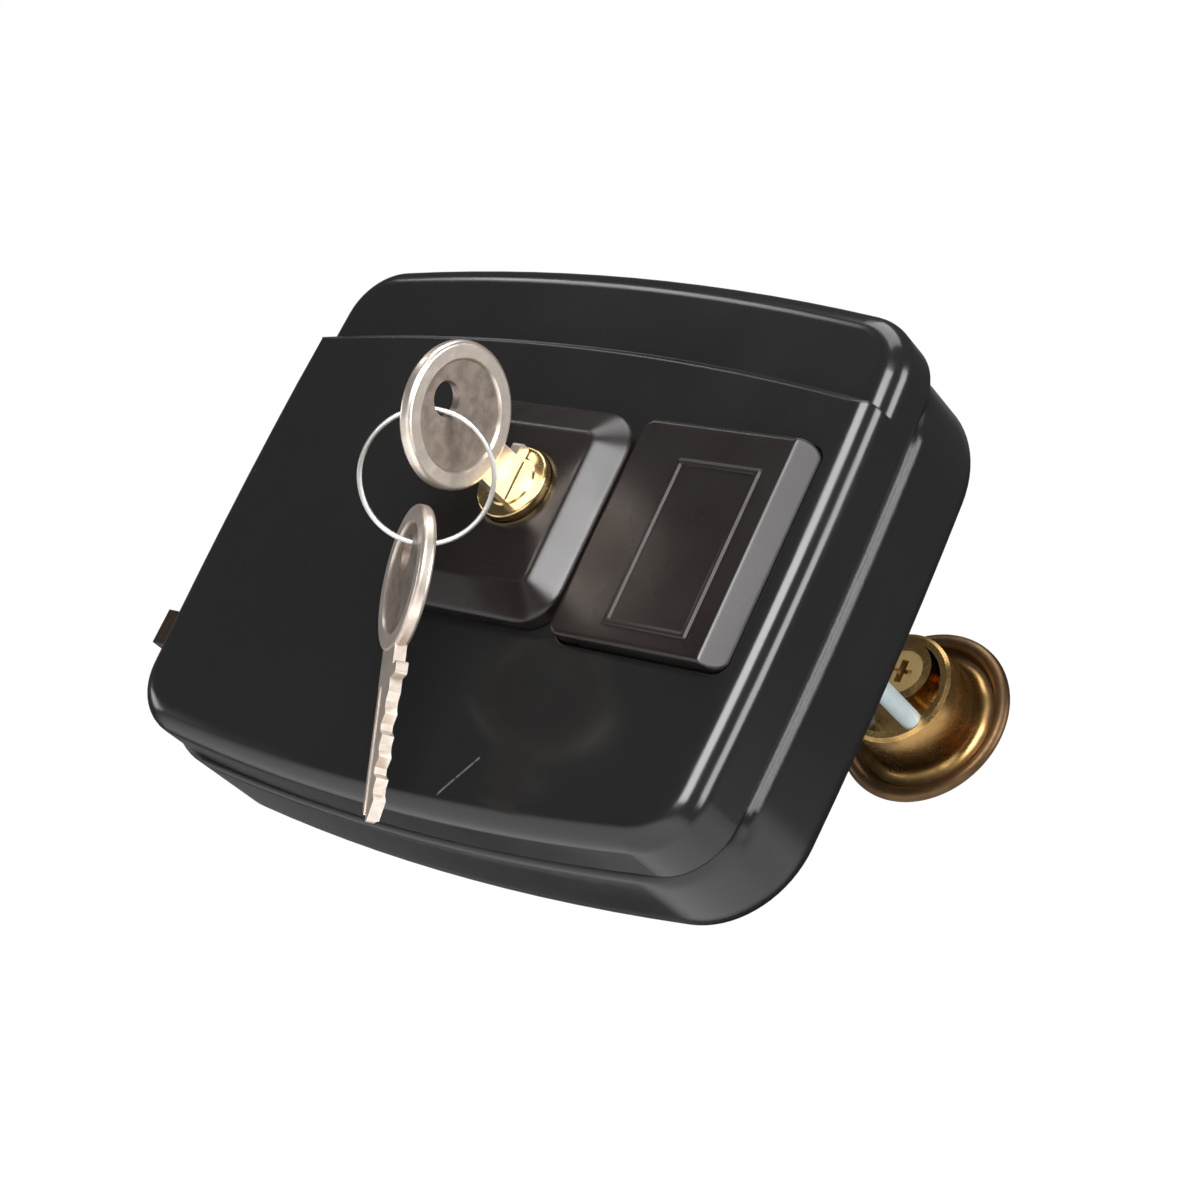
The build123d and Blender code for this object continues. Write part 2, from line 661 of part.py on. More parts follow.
def cylinder_body():
    """The brass housing of the inner cylinder, with a nose and a lug for the pins."""
    body = rod_y(CYL_X, CYL_Z, NOSE_RADIUS, NOSE_Y, BOSS_Y + 2 * WALL)
    body = fillet(front_edges(body), NOSE_ROUND)
    body += rod_y(CYL_X, CYL_Z, CYL_BODY_RADIUS, BOSS_Y + WALL + CYL_FIT, CYL_BACK_Y)
    half = PIN_LUG_WIDTH / 2
    lug = block(CYL_X - half, CYL_X + half, INNER_FACE_Y + 0.1, CYL_BACK_Y, CYL_Z, CYL_Z + PIN_LUG_REACH)
    lug = fillet(lug.edges().filter_by(Axis.Y).sort_by(Axis.Z)[-2:], half * 0.9)
    body += lug
    return body - rod_y(CYL_X, CYL_Z, PLUG_RADIUS + PLUG_FIT, NOSE_Y - 1, CYL_BACK_Y + 1)


def cylinder_nut():
    """The round nut that clamps the cylinder to the cover inside the boss."""
    body = rod_y(CYL_X, CYL_Z, NUT_RADIUS, FACE_Y - NUT_THICK, FACE_Y)
    body -= rod_y(CYL_X, CYL_Z, CYL_BODY_RADIUS + CYL_FIT / 2, FACE_Y - NUT_THICK - 1, FACE_Y + 1)
    for side in (-1, 1):
        z = CYL_Z + side * NUT_RADIUS
        body -= block(CYL_X - 1.2, CYL_X + 1.2, FACE_Y - NUT_THICK - 1, FACE_Y - 1, z - 1.2, z + 1.2)
    return body


def inner_plug():
    """The turning plug with its keyway and the stub that carries the cam."""
    body = rod_y(CYL_X, CYL_Z, PLUG_RADIUS, PLUG_FRONT_Y, CYL_BACK_Y)
    body = chamfer(front_edges(body), 0.3)
    half_x = BLADE_THICK / 2 + KEYWAY_CLEAR
    half_z = BLADE_WIDTH / 2 + KEYWAY_CLEAR
    end = PLUG_FRONT_Y + BLADE_LENGTH + 1
    body -= block(CYL_X - half_x, CYL_X + half_x, PLUG_FRONT_Y - 1, end, CYL_Z - half_z, CYL_Z + half_z)
    stub = rod_y(CYL_X, CYL_Z, PLUG_STUB_RADIUS, CYL_BACK_Y, TAIL_BACK_Y + 1)
    flat = PLUG_STUB_RADIUS * 0.7
    tall = PLUG_STUB_RADIUS + 1
    stub &= block(CYL_X - flat, CYL_X + flat, CYL_BACK_Y, 0, CYL_Z - tall, CYL_Z + tall)
    return body + stub


def cam_form(x, z):
    """A round hub with one finger that leans away from the latch's travel at rest."""
    hub = rod_y(0, 0, CAM_HUB_RADIUS, TAIL_FRONT_Y, TAIL_BACK_Y)
    half = CAM_FINGER / 2
    finger = block(-half, half, TAIL_FRONT_Y, TAIL_BACK_Y, -CAM_ARM, 0)
    tip = rod_y(0, -CAM_ARM, half, TAIL_FRONT_Y, TAIL_BACK_Y)
    return Pos(x, 0, z) * Rot(0, CAM_REST, 0) * (hub + finger + tip)


def inner_cam():
    """The cam on the inner plug, held on two flats."""
    body = cam_form(CYL_X, CYL_Z)
    hole = rod_y(CYL_X, CYL_Z, PLUG_STUB_RADIUS + PLUG_FIT, TAIL_FRONT_Y - 1, 0)
    flat = PLUG_STUB_RADIUS * 0.7 + PLUG_FIT
    tall = PLUG_STUB_RADIUS + 1
    hole &= block(CYL_X - flat, CYL_X + flat, TAIL_FRONT_Y - 1, 0, CYL_Z - tall, CYL_Z + tall)
    return body - hole


def outer_hub():
    """The follower hub that the tail bar turns."""
    body = cam_form(HUB_X, HUB_Z)
    body += rod_y(HUB_X, HUB_Z, HUB_COLLAR_RADIUS, TAIL_BACK_Y, 0)
    wide = BAR_WIDTH / 2 + PLUG_FIT
    thin = BAR_THICK / 2 + PLUG_FIT
    return body - block(HUB_X - thin, HUB_X + thin, TAIL_FRONT_Y - 1, 1, HUB_Z - wide, HUB_Z + wide)


def hub_strap():
    """A strap on the back plate that keeps the hub in its hole."""
    top = TAIL_FRONT_Y - 0.3
    left = HUB_X - STRAP_REACH
    right = HUB_X + STRAP_REACH
    low = HUB_Z - STRAP_WIDTH / 2 + 2
    high = low + STRAP_WIDTH
    body = block(left, right, top - STRAP_THICK, top, low, high)
    for x0, x1 in ((left, left + STRAP_THICK), (right - STRAP_THICK, right)):
        body += block(x0, x1, top, PLATE_Y, low, high)
    return body


def catch_lever():
    """The rocking catch: its nose sits in the tail plate's notch, its fork on the armature."""
    hub = rod_y(CATCH_X, CATCH_Z, CATCH_HUB_RADIUS, TAIL_FRONT_Y, TAIL_BACK_Y)
    half = CATCH_WIDTH / 2
    top = TAIL_BOTTOM + NOTCH_DEPTH - 1.2
    nose = block(CATCH_X - half, CATCH_X + half, TAIL_FRONT_Y, TAIL_BACK_Y, CATCH_Z, top)
    nose = fillet(nose.edges().filter_by(Axis.Y).sort_by(Axis.Z)[-2:], half * 0.7)
    fork_half = CROSS_PIN_RADIUS + FORK_FIT + 1.3
    bottom = COIL_Z - CROSS_PIN_RADIUS - 1.2
    arm = block(CATCH_X - fork_half, CATCH_X + fork_half, TAIL_FRONT_Y, TAIL_BACK_Y, bottom, CATCH_Z)
    slot_half = CROSS_PIN_RADIUS + FORK_FIT
    slot_top = COIL_Z + CROSS_PIN_RADIUS + 0.8
    arm -= block(CATCH_X - slot_half, CATCH_X + slot_half, TAIL_FRONT_Y - 1, 0, bottom - 1, slot_top)
    body = hub + nose + arm
    return body - rod_y(CATCH_X, CATCH_Z, CATCH_PIN_RADIUS + CATCH_PIN_FIT, TAIL_FRONT_Y - 1, 0)


def catch_pin():
    """The shouldered pin that the catch rocks on."""
    body = rod_y(CATCH_X, CATCH_Z, CATCH_PIN_RADIUS, TAIL_FRONT_Y - 1, PLATE_Y)
    body += rod_y(CATCH_X, CATCH_Z, CATCH_PIN_RADIUS + 1.2, TAIL_BACK_Y + 0.3, PLATE_Y)
    return body + rod_y(CATCH_X, CATCH_Z, CATCH_PIN_RADIUS + 1.0, TAIL_FRONT_Y - 1.3, TAIL_FRONT_Y - 0.3)


def solenoid_yoke():
    """The bent steel frame round the coil, standing on the back plate."""
    left = YOKE_LEFT
    right = YOKE_LEFT + YOKE_LENGTH
    half = YOKE_WIDTH / 2 - 0.5
    front = COIL_Y - COIL_RADIUS
    body = block(left, right, PLATE_Y - YOKE_THICK, PLATE_Y, COIL_Z - half, COIL_Z + half)
    body += block(left, left + YOKE_THICK, front, PLATE_Y, COIL_Z - half, COIL_Z + half)
    body += block(right - YOKE_THICK, right, front, PLATE_Y, COIL_Z - half, COIL_Z + half)
    return body - rod_x(COIL_Y, COIL_Z, ARMATURE_RADIUS + 2 * ARMATURE_FIT, left - 1, left + 3)


def coil_bobbin():
    """The moulded spool that carries the winding."""
    left = YOKE_LEFT + YOKE_THICK
    right = YOKE_LEFT + YOKE_LENGTH - YOKE_THICK
    body = rod_x(COIL_Y, COIL_Z, BOBBIN_CORE, left, right)
    for x0 in (left, right - BOBBIN_FLANGE):
        body += rod_x(COIL_Y, COIL_Z, COIL_RADIUS - 0.1, x0, x0 + BOBBIN_FLANGE)
    return body - rod_x(COIL_Y, COIL_Z, ARMATURE_RADIUS + ARMATURE_FIT, left - 1, right + 1)


def coil_winding():
    """The wound wire, shown as the smooth taped sleeve that it is under its tape."""
    left = YOKE_LEFT + YOKE_THICK + BOBBIN_FLANGE
    right = YOKE_LEFT + YOKE_LENGTH - YOKE_THICK - BOBBIN_FLANGE
    body = rod_x(COIL_Y, COIL_Z, COIL_RADIUS - 1.0, left, right)
    return body - rod_x(COIL_Y, COIL_Z, BOBBIN_CORE, left - 1, right + 1)


def pole_piece():
    """The fixed iron core at the closed end of the coil."""
    right = YOKE_LEFT + YOKE_LENGTH - YOKE_THICK
    return rod_x(COIL_Y, COIL_Z, ARMATURE_RADIUS, right - POLE_LENGTH, right)


def armature():
    """The sliding iron core with a spring collar and a cross pin for the catch."""
    tip = YOKE_LEFT + YOKE_LENGTH - YOKE_THICK - POLE_LENGTH - ARMATURE_TRAVEL - 0.5
    left = CATCH_X - 3.0
    body = rod_x(COIL_Y, COIL_Z, ARMATURE_RADIUS, left, tip)
    body += rod_x(COIL_Y, COIL_Z, COLLAR_RADIUS, collar_x(), collar_x() + COLLAR_THICK)
    return body + rod_y(CATCH_X, COIL_Z, CROSS_PIN_RADIUS, COIL_Y, TAIL_BACK_Y + 0.5)


def collar_x():
    """Where the armature's spring collar starts."""
    return CATCH_X + COLLAR_PLACE


def terminal_block():
    """The two-way terminal block on the back plate."""
    half_x = TERMINAL_LENGTH / 2
    half_z = TERMINAL_WIDTH / 2
    front = PLATE_Y - TERMINAL_TALL
    left = TERMINAL_X - half_x
    right = TERMINAL_X + half_x
    body = block(left, right, front, PLATE_Y, TERMINAL_Z - half_z, TERMINAL_Z + half_z)
    for x in terminal_places():
        body -= rod_y(x, TERMINAL_Z, TERMINAL_SCREW + 0.3, front - 1, front + TERMINAL_BORE)
        slot = front + WIRE_SLOT_DROP
        low = TERMINAL_Z - half_z - 1
        body -= block(x - WIRE_SLOT_HALF, x + WIRE_SLOT_HALF, slot, slot + WIRE_SLOT_TALL, low, TERMINAL_Z)
    return body


def terminal_places():
    """The two terminals along X."""
    return [TERMINAL_X - TERMINAL_PITCH / 2, TERMINAL_X + TERMINAL_PITCH / 2]


def terminal_screws():
    """The two clamp screws of the terminal block."""
    front = PLATE_Y - TERMINAL_TALL
    screws = []
    for x in terminal_places():
        body = rod_y(x, TERMINAL_Z, TERMINAL_SCREW, front + 0.8, front + TERMINAL_BORE)
        wide = 1.5 * TERMINAL_SCREW
        slit = block(x - 0.3, x + 0.3, front, front + 1.5, TERMINAL_Z - wide, TERMINAL_Z + wide)
        screws.append(body - slit)
    return Compound(children=screws)


def tie_places():
    """The two long screws that tie the outer cylinder to the back plate."""
    return [(OUT_X - TIE_SPREAD, OUT_Z - TIE_DROP), (OUT_X + TIE_SPREAD, OUT_Z - TIE_DROP)]


def outer_profile():
    """Half section of the outer cylinder: body, dished collar with a rolled rim, dome."""
    rim = OUT_RIM_RADIUS
    roll = OUT_RIM_ROLL
    body = OUT_BODY_RADIUS
    lip = DOOR_THICK + roll
    floor = DOOR_THICK + OUT_DISH_DEPTH
    dome = lip + OUT_DOME_RISE
    turn = OUT_FILLET * (1 - sqrt(0.5))
    return [
        Line((0, OUT_FACE_Y), (body - 0.6, OUT_FACE_Y)),
        Line((body - 0.6, OUT_FACE_Y), (body, OUT_FACE_Y + 0.6)),
        Line((body, OUT_FACE_Y + 0.6), (body, floor - OUT_FILLET)),
        ThreePointArc((body, floor - OUT_FILLET), (body + turn, floor - turn), (body + OUT_FILLET, floor)),
        Line((body + OUT_FILLET, floor), (rim - 2 * roll, lip)),
        ThreePointArc((rim - 2 * roll, lip), (rim - roll, lip - roll), (rim, lip)),
        Line((rim, lip), (rim * 0.7, lip + OUT_DOME_RISE * 0.75)),
        Line((rim * 0.7, lip + OUT_DOME_RISE * 0.75), (OUT_BODY_RADIUS, dome)),
        Line((OUT_BODY_RADIUS, dome), (0, dome)),
        Line((0, dome), (0, OUT_FACE_Y)),
    ]


def outer_body():
    """The brass outer cylinder with its collar, plug bore and two tapped holes."""
    face = make_face(outer_profile())
    body = revolve(face, Axis.Y)
    body = Pos(OUT_X, 0, OUT_Z) * body
    inner = OUT_BODY_RADIUS - OUT_POCKET_WALL
    floor = OUT_FACE_Y + OUT_POCKET_DEPTH
    pocket = rod_y(OUT_X, OUT_Z, inner, OUT_FACE_Y - 1, floor)
    body -= pocket - rod_y(HUB_X, HUB_Z, OUT_HOUSING_RADIUS, OUT_FACE_Y - 2, floor + 1)
    top = DOOR_THICK + OUT_RIM_ROLL + OUT_DOME_RISE + 1
    body -= rod_y(HUB_X, HUB_Z, OUT_PLUG_RADIUS + PLUG_FIT, OUT_FACE_Y - 1, top)
    for x, z in tie_places():
        body -= rod_y(x, z, TIE_RADIUS + TIE_CLEAR, OUT_FACE_Y - 1, OUT_FACE_Y + TIE_BITE + 0.5)
    return body


def outer_plug():
    """The turning plug of the outer cylinder, keyway outside and bar slot inside."""
    front = DOOR_THICK + OUT_RIM_ROLL + OUT_DOME_RISE
    body = rod_y(HUB_X, HUB_Z, OUT_PLUG_RADIUS, OUT_FACE_Y + 0.2, front)
    half_x = BLADE_THICK / 2 + KEYWAY_CLEAR
    half_z = BLADE_WIDTH / 2 + KEYWAY_CLEAR
    back = OUT_FACE_Y + BAR_SEAT + 2
    body -= block(HUB_X - half_x, HUB_X + half_x, back, front + 1, HUB_Z - half_z, HUB_Z + half_z)
    wide = BAR_WIDTH / 2 + PLUG_FIT
    thin = BAR_THICK / 2 + PLUG_FIT
    seat = OUT_FACE_Y + 0.2 + BAR_SEAT
    body -= block(HUB_X - thin, HUB_X + thin, OUT_FACE_Y - 1, seat, HUB_Z - wide, HUB_Z + wide)
    slit = BAR_THICK * 0.3
    depth = OUT_FACE_Y + 1.2
    return body - block(HUB_X - wide, HUB_X + wide, OUT_FACE_Y - 1, depth, HUB_Z - slit, HUB_Z + slit)


def tail_bar():
    """The flat bar in the hub; its free end waits in front of the outer plug's slot."""
    wide = BAR_WIDTH / 2
    thin = BAR_THICK / 2
    end = OUT_FACE_Y - BAR_END_GAP
    return block(HUB_X - thin, HUB_X + thin, TAIL_FRONT_Y, end, HUB_Z - wide, HUB_Z + wide)


def tie_screws():
    """The two long screws from the back plate into the outer cylinder."""
    screws = []
    for x, z in tie_places():
        head = rod_y(x, z, TIE_HEAD_RADIUS, PLATE_Y - TIE_HEAD_TALL, PLATE_Y)
        head = chamfer(front_edges(head), 0.6)
        wide = 2 * TIE_HEAD_RADIUS
        head -= block(x - 0.4, x + 0.4, PLATE_Y - TIE_HEAD_TALL - 1, PLATE_Y - 1.4, z - wide, z + wide)
        screws.append(head + rod_y(x, z, TIE_RADIUS, PLATE_Y, OUT_FACE_Y + TIE_BITE))
    return Compound(children=screws)


def blade_outline():
    """The blade's side view: a straight back, cuts along the top and a bevelled tip."""
    half = BLADE_WIDTH / 2
    points = [(-1, -half), (BLADE_LENGTH - TIP_BEVEL, -half), (BLADE_LENGTH, -half + TIP_BEVEL)]
    top = [(-1, half), (CUT_FIRST - CUT_PITCH / 2, half)]
    for number, depth in enumerate(BITTING):
        middle = CUT_FIRST + number * CUT_PITCH
        peak = half - min(depth, BITTING[min(number + 1, len(BITTING) - 1)]) * 0.4
        top.append((middle - CUT_FLAT / 2, half - depth))
        top.append((middle + CUT_FLAT / 2, half - depth))
        top.append((middle + CUT_PITCH / 2, peak))
    top.append((BLADE_LENGTH, -half + TIP_BEVEL + 0.8))
    return make_face(Polyline(*points, *reversed(top), close=True))


def bow_centre():
    """The centre of the key's bow in the key's own frame."""
    return -NECK_LENGTH - BOW_RADIUS, BOW_RAISE


def key_form():
    """A flat key with its blade along X, cuts towards Y and the shoulder at X = 0."""
    place = Pos(*bow_centre(), 0)
    bow = Cylinder(BOW_RADIUS, BOW_THICK)
    bow = fillet(bow.edges(), BOW_ROUND)
    panel = BOW_RADIUS - BOW_RIM - BOW_RECESS
    level = (BOW_THICK - BOW_RECESS) / 2
    bow -= Pos(0, 0, level) * Cone(panel, panel + BOW_RECESS, BOW_RECESS)
    bow -= Pos(0, 0, -level) * Cone(panel + BOW_RECESS, panel, BOW_RECESS)
    body = place * bow
    overlap = BOW_RIM * 0.6
    neck = Pos(-(NECK_LENGTH + overlap) / 2, 0) * Rectangle(NECK_LENGTH + overlap, NECK_WIDTH)
    shoulder = Pos(-SHOULDER_LENGTH / 2, SHOULDER_REACH / 2) * Rectangle(SHOULDER_LENGTH, SHOULDER_REACH)
    shoulder = fillet(shoulder.vertices().sort_by(Axis.Y)[-2:], 0.6)
    body += extrude(neck + shoulder, BLADE_THICK / 2, both=True)
    blade = extrude(blade_outline(), BLADE_THICK / 2, both=True)
    groove = BLADE_THICK / 2 - BLADE_GROOVE
    for side, across in ((1, -0.8), (-1, 0.4)):
        cut = Pos(BLADE_LENGTH / 2, across - 1, side * (groove + 1)) * Box(
            BLADE_LENGTH + 1, BLADE_GROOVE_WIDTH, 2
        )
        blade -= cut
    body += blade
    hole = Pos(*key_hole(), 0) * Cylinder(BOW_HOLE_RADIUS, 4 * BOW_THICK)
    return body - hole


def key_hole():
    """The centre of the key's hole in the key's own frame."""
    out, up = bow_centre()
    return out - BOW_HOLE_OUT, up + BOW_HOLE_UP


def unit(vector):
    """A vector of length one."""
    return vector * (1 / vector.length)


def ring_frame():
    """The ring's normal, the point where its wire sits in the hole, and its fall line."""
    turn = radians(RING_TURN)
    dip = radians(RING_DIP)
    normal = Vector(sin(turn) * cos(dip), -cos(turn) * cos(dip), -sin(dip))
    lean = radians(RING_LEAN)
    down = Vector(sin(lean), 0, -cos(lean))
    fall = unit(down - normal * down.dot(normal))
    out, up = key_hole()
    hole = Vector(CYL_X, PLUG_FRONT_Y + out, CYL_Z + up)
    across = unit(Vector(0, fall.Y, fall.Z))
    return normal, hole + across * WIRE_SEAT, fall


def key_in_lock():
    """The key in the inner cylinder, flat side upright."""
    place = Plane(origin=(CYL_X, PLUG_FRONT_Y, CYL_Z), x_dir=(0, 1, 0), z_dir=(1, 0, 0))
    return place * key_form()


def key_ring():
    """The wire ring through both keys, from wire of many narrow sides."""
    normal, seat, fall = ring_frame()
    centre = seat + fall * RING_RADIUS
    place = Plane(origin=centre, x_dir=fall, z_dir=normal)
    section = Plane.XZ * Pos(RING_RADIUS, 0) * RegularPolygon(WIRE_RADIUS, WIRE_SIDES)
    return place * revolve(section, Axis.Z)


def spare_key():
    """The second key, hanging from the ring."""
    _, seat, fall = ring_frame()
    lean = radians(HANG_LEAN)
    swing = radians(HANG_SWING)
    turn = radians(SPARE_TURN)
    hang = Vector(sin(lean) * cos(swing), sin(swing), -cos(lean) * cos(swing))
    level = Vector(cos(lean), 0, sin(lean))
    side = level * cos(turn) - level.cross(hang) * sin(turn)
    normal = hang.cross(side)
    out, up = key_hole()
    hole = seat + fall * (2 * RING_RADIUS) + hang * WIRE_SEAT
    origin = hole - hang * out - side * up
    place = Plane(origin=origin, x_dir=hang, z_dir=normal)
    return place * key_form()


def biarc(start, leave, end, arrive):
    """Two tangent arcs from start to end with the given directions at both ends."""
    span = end - start
    total = leave + arrive
    spread = 2 * (1 - leave.dot(arrive))
    along = span.dot(total)
    reach = (sqrt(along * along + spread * span.dot(span)) - along) / spread
    first = start + leave * reach
    second = end - arrive * reach
    middle = (first + second) * 0.5
    heading = unit(second - first)
    return [TangentArc(start, middle, tangent=leave), TangentArc(middle, end, tangent=heading)]


def coil(wire, radius, turns, length):
    """An unbroken helical tube round Z, from 0 to length, swept on quarter-turn biarcs."""
    steps = 2 * round(turns)
    climb = (length - 2 * wire) / steps
    rise = climb / pi
    edges = []
    for step in range(steps):
        ends = []
        for number in (step, step + 1):
            angle = number * pi
            point = Vector(radius * cos(angle), radius * sin(angle), wire + number * climb)
            heading = unit(Vector(-radius * sin(angle), radius * cos(angle), rise))
            ends.append((point, heading))
        edges += biarc(*ends[0], *ends[1])
    path = Wire(edges)
    begin = edges[0] @ 0
    section = Plane(origin=begin, z_dir=edges[0] % 0) * RegularPolygon(wire, SPRING_SIDES)
    gap = 2 * climb - 2 * wire
    print("coil: least gap to itself %.2f mm" % gap)
    return sweep(section, path=path)


def spring_x(wire, radius, turns, y, z, x0, x1):
    """A coil spring along X between two seats."""
    length = x1 - x0 - 2 * SPRING_SEAT
    return Pos(x0 + SPRING_SEAT, y, z) * Rot(0, 90, 0) * coil(wire, radius, turns, length)


def latch_spring():
    """The spring behind the latch bolt."""
    y = LATCH_FRONT_Y + LATCH_COIL + LATCH_WIRE - 2.0
    right = BRIDGE_X - GUIDE_THICK
    return spring_x(LATCH_WIRE, LATCH_COIL, LATCH_TURNS, y, 0, LATCH_HEEL_X, right)


def plunger_spring():
    """The spring behind the arming plunger."""
    right = BRIDGE_X - GUIDE_THICK
    return spring_x(ARM_WIRE, ARM_COIL, ARM_TURNS, ARM_MID_Y, ARM_CENTRE_Z, ARM_HEEL_X, right)


def armature_spring():
    """The spring that pushes the armature out of the coil."""
    left = collar_x() + COLLAR_THICK
    return spring_x(CATCH_WIRE, CATCH_COIL, CATCH_TURNS, COIL_Y, COIL_Z, left, YOKE_LEFT)


def button_spring():
    """The spring round the button's stem."""
    front = BUTTON_Y + WALL + SPRING_SEAT
    back = TRAY_FLOOR_Y - TRAY_WALL - SPRING_SEAT
    spring = coil(BUTTON_WIRE, BUTTON_COIL, BUTTON_TURNS, back - front)
    return Pos(BUTTON_X, front, 0) * Rot(-90, 0, 0) * spring


PIECES = [
    rear_case, front_cover, back_plate, cover_screws,
    cylinder_boss, boss_clips, push_button, button_spring, button_tray, button_switch,
    cylinder_body, cylinder_nut, inner_plug, inner_cam,
    latch_bolt, latch_spring, arming_plunger, plunger_spring, guide_plate, spring_bridge,
    catch_lever, catch_pin, armature, armature_spring,
    solenoid_yoke, coil_bobbin, coil_winding, pole_piece,
    terminal_block, terminal_screws,
    outer_body, outer_plug, outer_hub, hub_strap, tail_bar, tie_screws,
    key_in_lock, key_ring, spare_key,
]

os.makedirs("parts", exist_ok=True)
for piece in PIECES:
    export_step(piece(), "parts/%s.step" % piece.__name__)
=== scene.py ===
import json
import math

import bpy
import numpy as np
from mathutils import Matrix, Vector

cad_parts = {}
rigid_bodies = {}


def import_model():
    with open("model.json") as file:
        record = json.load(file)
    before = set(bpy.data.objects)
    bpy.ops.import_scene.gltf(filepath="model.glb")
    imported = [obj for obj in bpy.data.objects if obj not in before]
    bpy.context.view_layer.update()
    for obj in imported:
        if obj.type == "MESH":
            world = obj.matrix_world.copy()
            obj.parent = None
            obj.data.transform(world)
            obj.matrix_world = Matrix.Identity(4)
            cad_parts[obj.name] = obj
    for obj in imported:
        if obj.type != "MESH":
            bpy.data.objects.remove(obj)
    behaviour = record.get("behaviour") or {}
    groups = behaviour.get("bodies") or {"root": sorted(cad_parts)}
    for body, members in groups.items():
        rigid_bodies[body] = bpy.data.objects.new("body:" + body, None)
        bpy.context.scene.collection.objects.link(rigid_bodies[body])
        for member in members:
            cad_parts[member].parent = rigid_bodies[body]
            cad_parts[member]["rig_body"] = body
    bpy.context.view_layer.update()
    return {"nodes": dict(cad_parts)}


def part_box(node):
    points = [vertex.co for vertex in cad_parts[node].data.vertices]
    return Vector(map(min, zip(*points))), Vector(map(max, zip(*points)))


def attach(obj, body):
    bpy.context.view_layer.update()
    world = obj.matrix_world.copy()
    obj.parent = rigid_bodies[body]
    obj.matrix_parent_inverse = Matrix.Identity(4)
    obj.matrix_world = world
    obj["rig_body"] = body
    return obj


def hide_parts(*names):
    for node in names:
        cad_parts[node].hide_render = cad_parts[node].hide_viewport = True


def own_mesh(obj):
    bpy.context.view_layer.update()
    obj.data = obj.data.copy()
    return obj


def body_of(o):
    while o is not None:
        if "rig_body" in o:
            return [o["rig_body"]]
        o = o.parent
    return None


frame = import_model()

MM = 0.001
X, Y = 0, 1
NODES = frame["nodes"]


def hex_colour(text):
    """An sRGB hex colour as linear RGBA."""
    out = []
    for i in (0, 2, 4):
        c = int(text[i:i + 2], 16) / 255
        out.append(c / 12.92 if c <= 0.04045 else ((c + 0.055) / 1.055) ** 2.4)
    return (*out, 1.0)


# Node trees: add() makes every node, and these two are settings that many of them share

SMOOTH = {"interpolation_type": "SMOOTHSTEP"}
COLOUR = {"data_type": "RGBA"}


def add(tree, kind, *values, sockets=None, output=None, **settings):
    """Adds a shader node and returns the output with the given name, or else its first live one.

    The values fill the live inputs in their order, and sockets fills inputs by name. Each is a
    constant or another node's output.
    """
    node = tree.nodes.new("ShaderNode" + kind)
    for name, value in settings.items():
        setattr(node, name, value)
    live = [socket for socket in node.inputs if socket.enabled]
    named = [(node.inputs[name], value) for name, value in (sockets or {}).items()]
    for socket, value in [*zip(live, values), *named]:
        if isinstance(value, bpy.types.NodeSocket):
            tree.links.new(value, socket)
        else:
            socket.default_value = value
    if output:
        return node.outputs[output]
    return next((socket for socket in node.outputs if socket.enabled), None)


def new_material(name):
    """An empty node material, its tree and the coordinates that its patterns lie on."""
    mat = bpy.data.materials.new(name)
    mat.use_nodes = True
    mat.node_tree.nodes.clear()
    coords = add(mat.node_tree, "TexCoord", output="Object")
    return mat, mat.node_tree, coords


def mottle(tree, coords, size_mm, detail=3.0, rough=0.5, stretch=(1, 1, 1)):
    """Uneven lumps about size_mm across, longer where stretched, with levels round the middle of 0 to 1."""
    scale = tuple(1.0 / (size_mm * MM * longer) for longer in stretch)
    placed = add(tree, "Mapping", coords, sockets={"Scale": scale})
    return add(tree, "TexNoise", placed, 1.0, detail, rough)


def edge_mask(tree, radius_mm):
    """About 1 on sharp edges and 0 on flats, from how far a bevelled normal leans away."""
    soft = add(tree, "Bevel", radius_mm * MM, samples=4)
    hard = add(tree, "NewGeometry", output="True Normal")
    lean = add(tree, "VectorMath", soft, hard, operation="DOT_PRODUCT")
    return add(tree, "MapRange", lean, 0.995, 0.80, **SMOOTH)


def rub_edges(tree, base, radius_mm, share, tone):
    """The base colour with its sharp edges partly rubbed to another tone."""
    rubbed = add(tree, "Math", edge_mask(tree, radius_mm), share, operation="MULTIPLY")
    return add(tree, "Mix", rubbed, base, hex_colour(tone), **COLOUR)


def finish_surface(tree, colour, metallic, rough, height, depth_mm, soft_mm=0.0, coat=None):
    """The principled surface that ends a material, with its bump and, for soft_mm, rounded shading."""
    bump = {"Height": height, "Distance": depth_mm * MM, "Strength": 1.0}
    if soft_mm:
        bump["Normal"] = add(tree, "Bevel", soft_mm * MM, samples=16)
    surface = {
        "Base Color": colour,
        "Metallic": metallic,
        "Roughness": rough,
        "Normal": add(tree, "Bump", sockets=bump),
        **(coat or {}),
    }
    add(tree, "OutputMaterial", add(tree, "BsdfPrincipled", sockets=surface))


# Materials: sizes and depths are in millimetres; a share is how much of a tone shows; a dulling adds to
# the roughness. Hairlines, turning lines and drawn grain are finer on the real lock, and are drawn as
# coarse as they need to be to show.

# Moulded plastic

ORANGE_PEEL = 3.0
PEEL_DEPTH = 0.004
HAZE_PATCHES = 22.0
HAIRLINES = 0.16
HAIRLINE_STRETCH = (60, 1, 1)
HAIRLINE_DULLING = 0.05
EDGE_SPECKS = 0.35
RUBBED_PLASTIC_EDGE = 0.5
RUBBED_PLASTIC_SHARE = 0.25

# The light scratch low on the cover: its ends are places to the right and up on the cover's face

SCRATCH_START = (16.3, -53.4)
SCRATCH_END = (22.8, -43.6)
SCRATCH_WIDTH = 0.5
SCRATCH_BREAKS = 0.7
SCRATCH_DULLING = 0.4
SCRATCH_TONE = "525250"


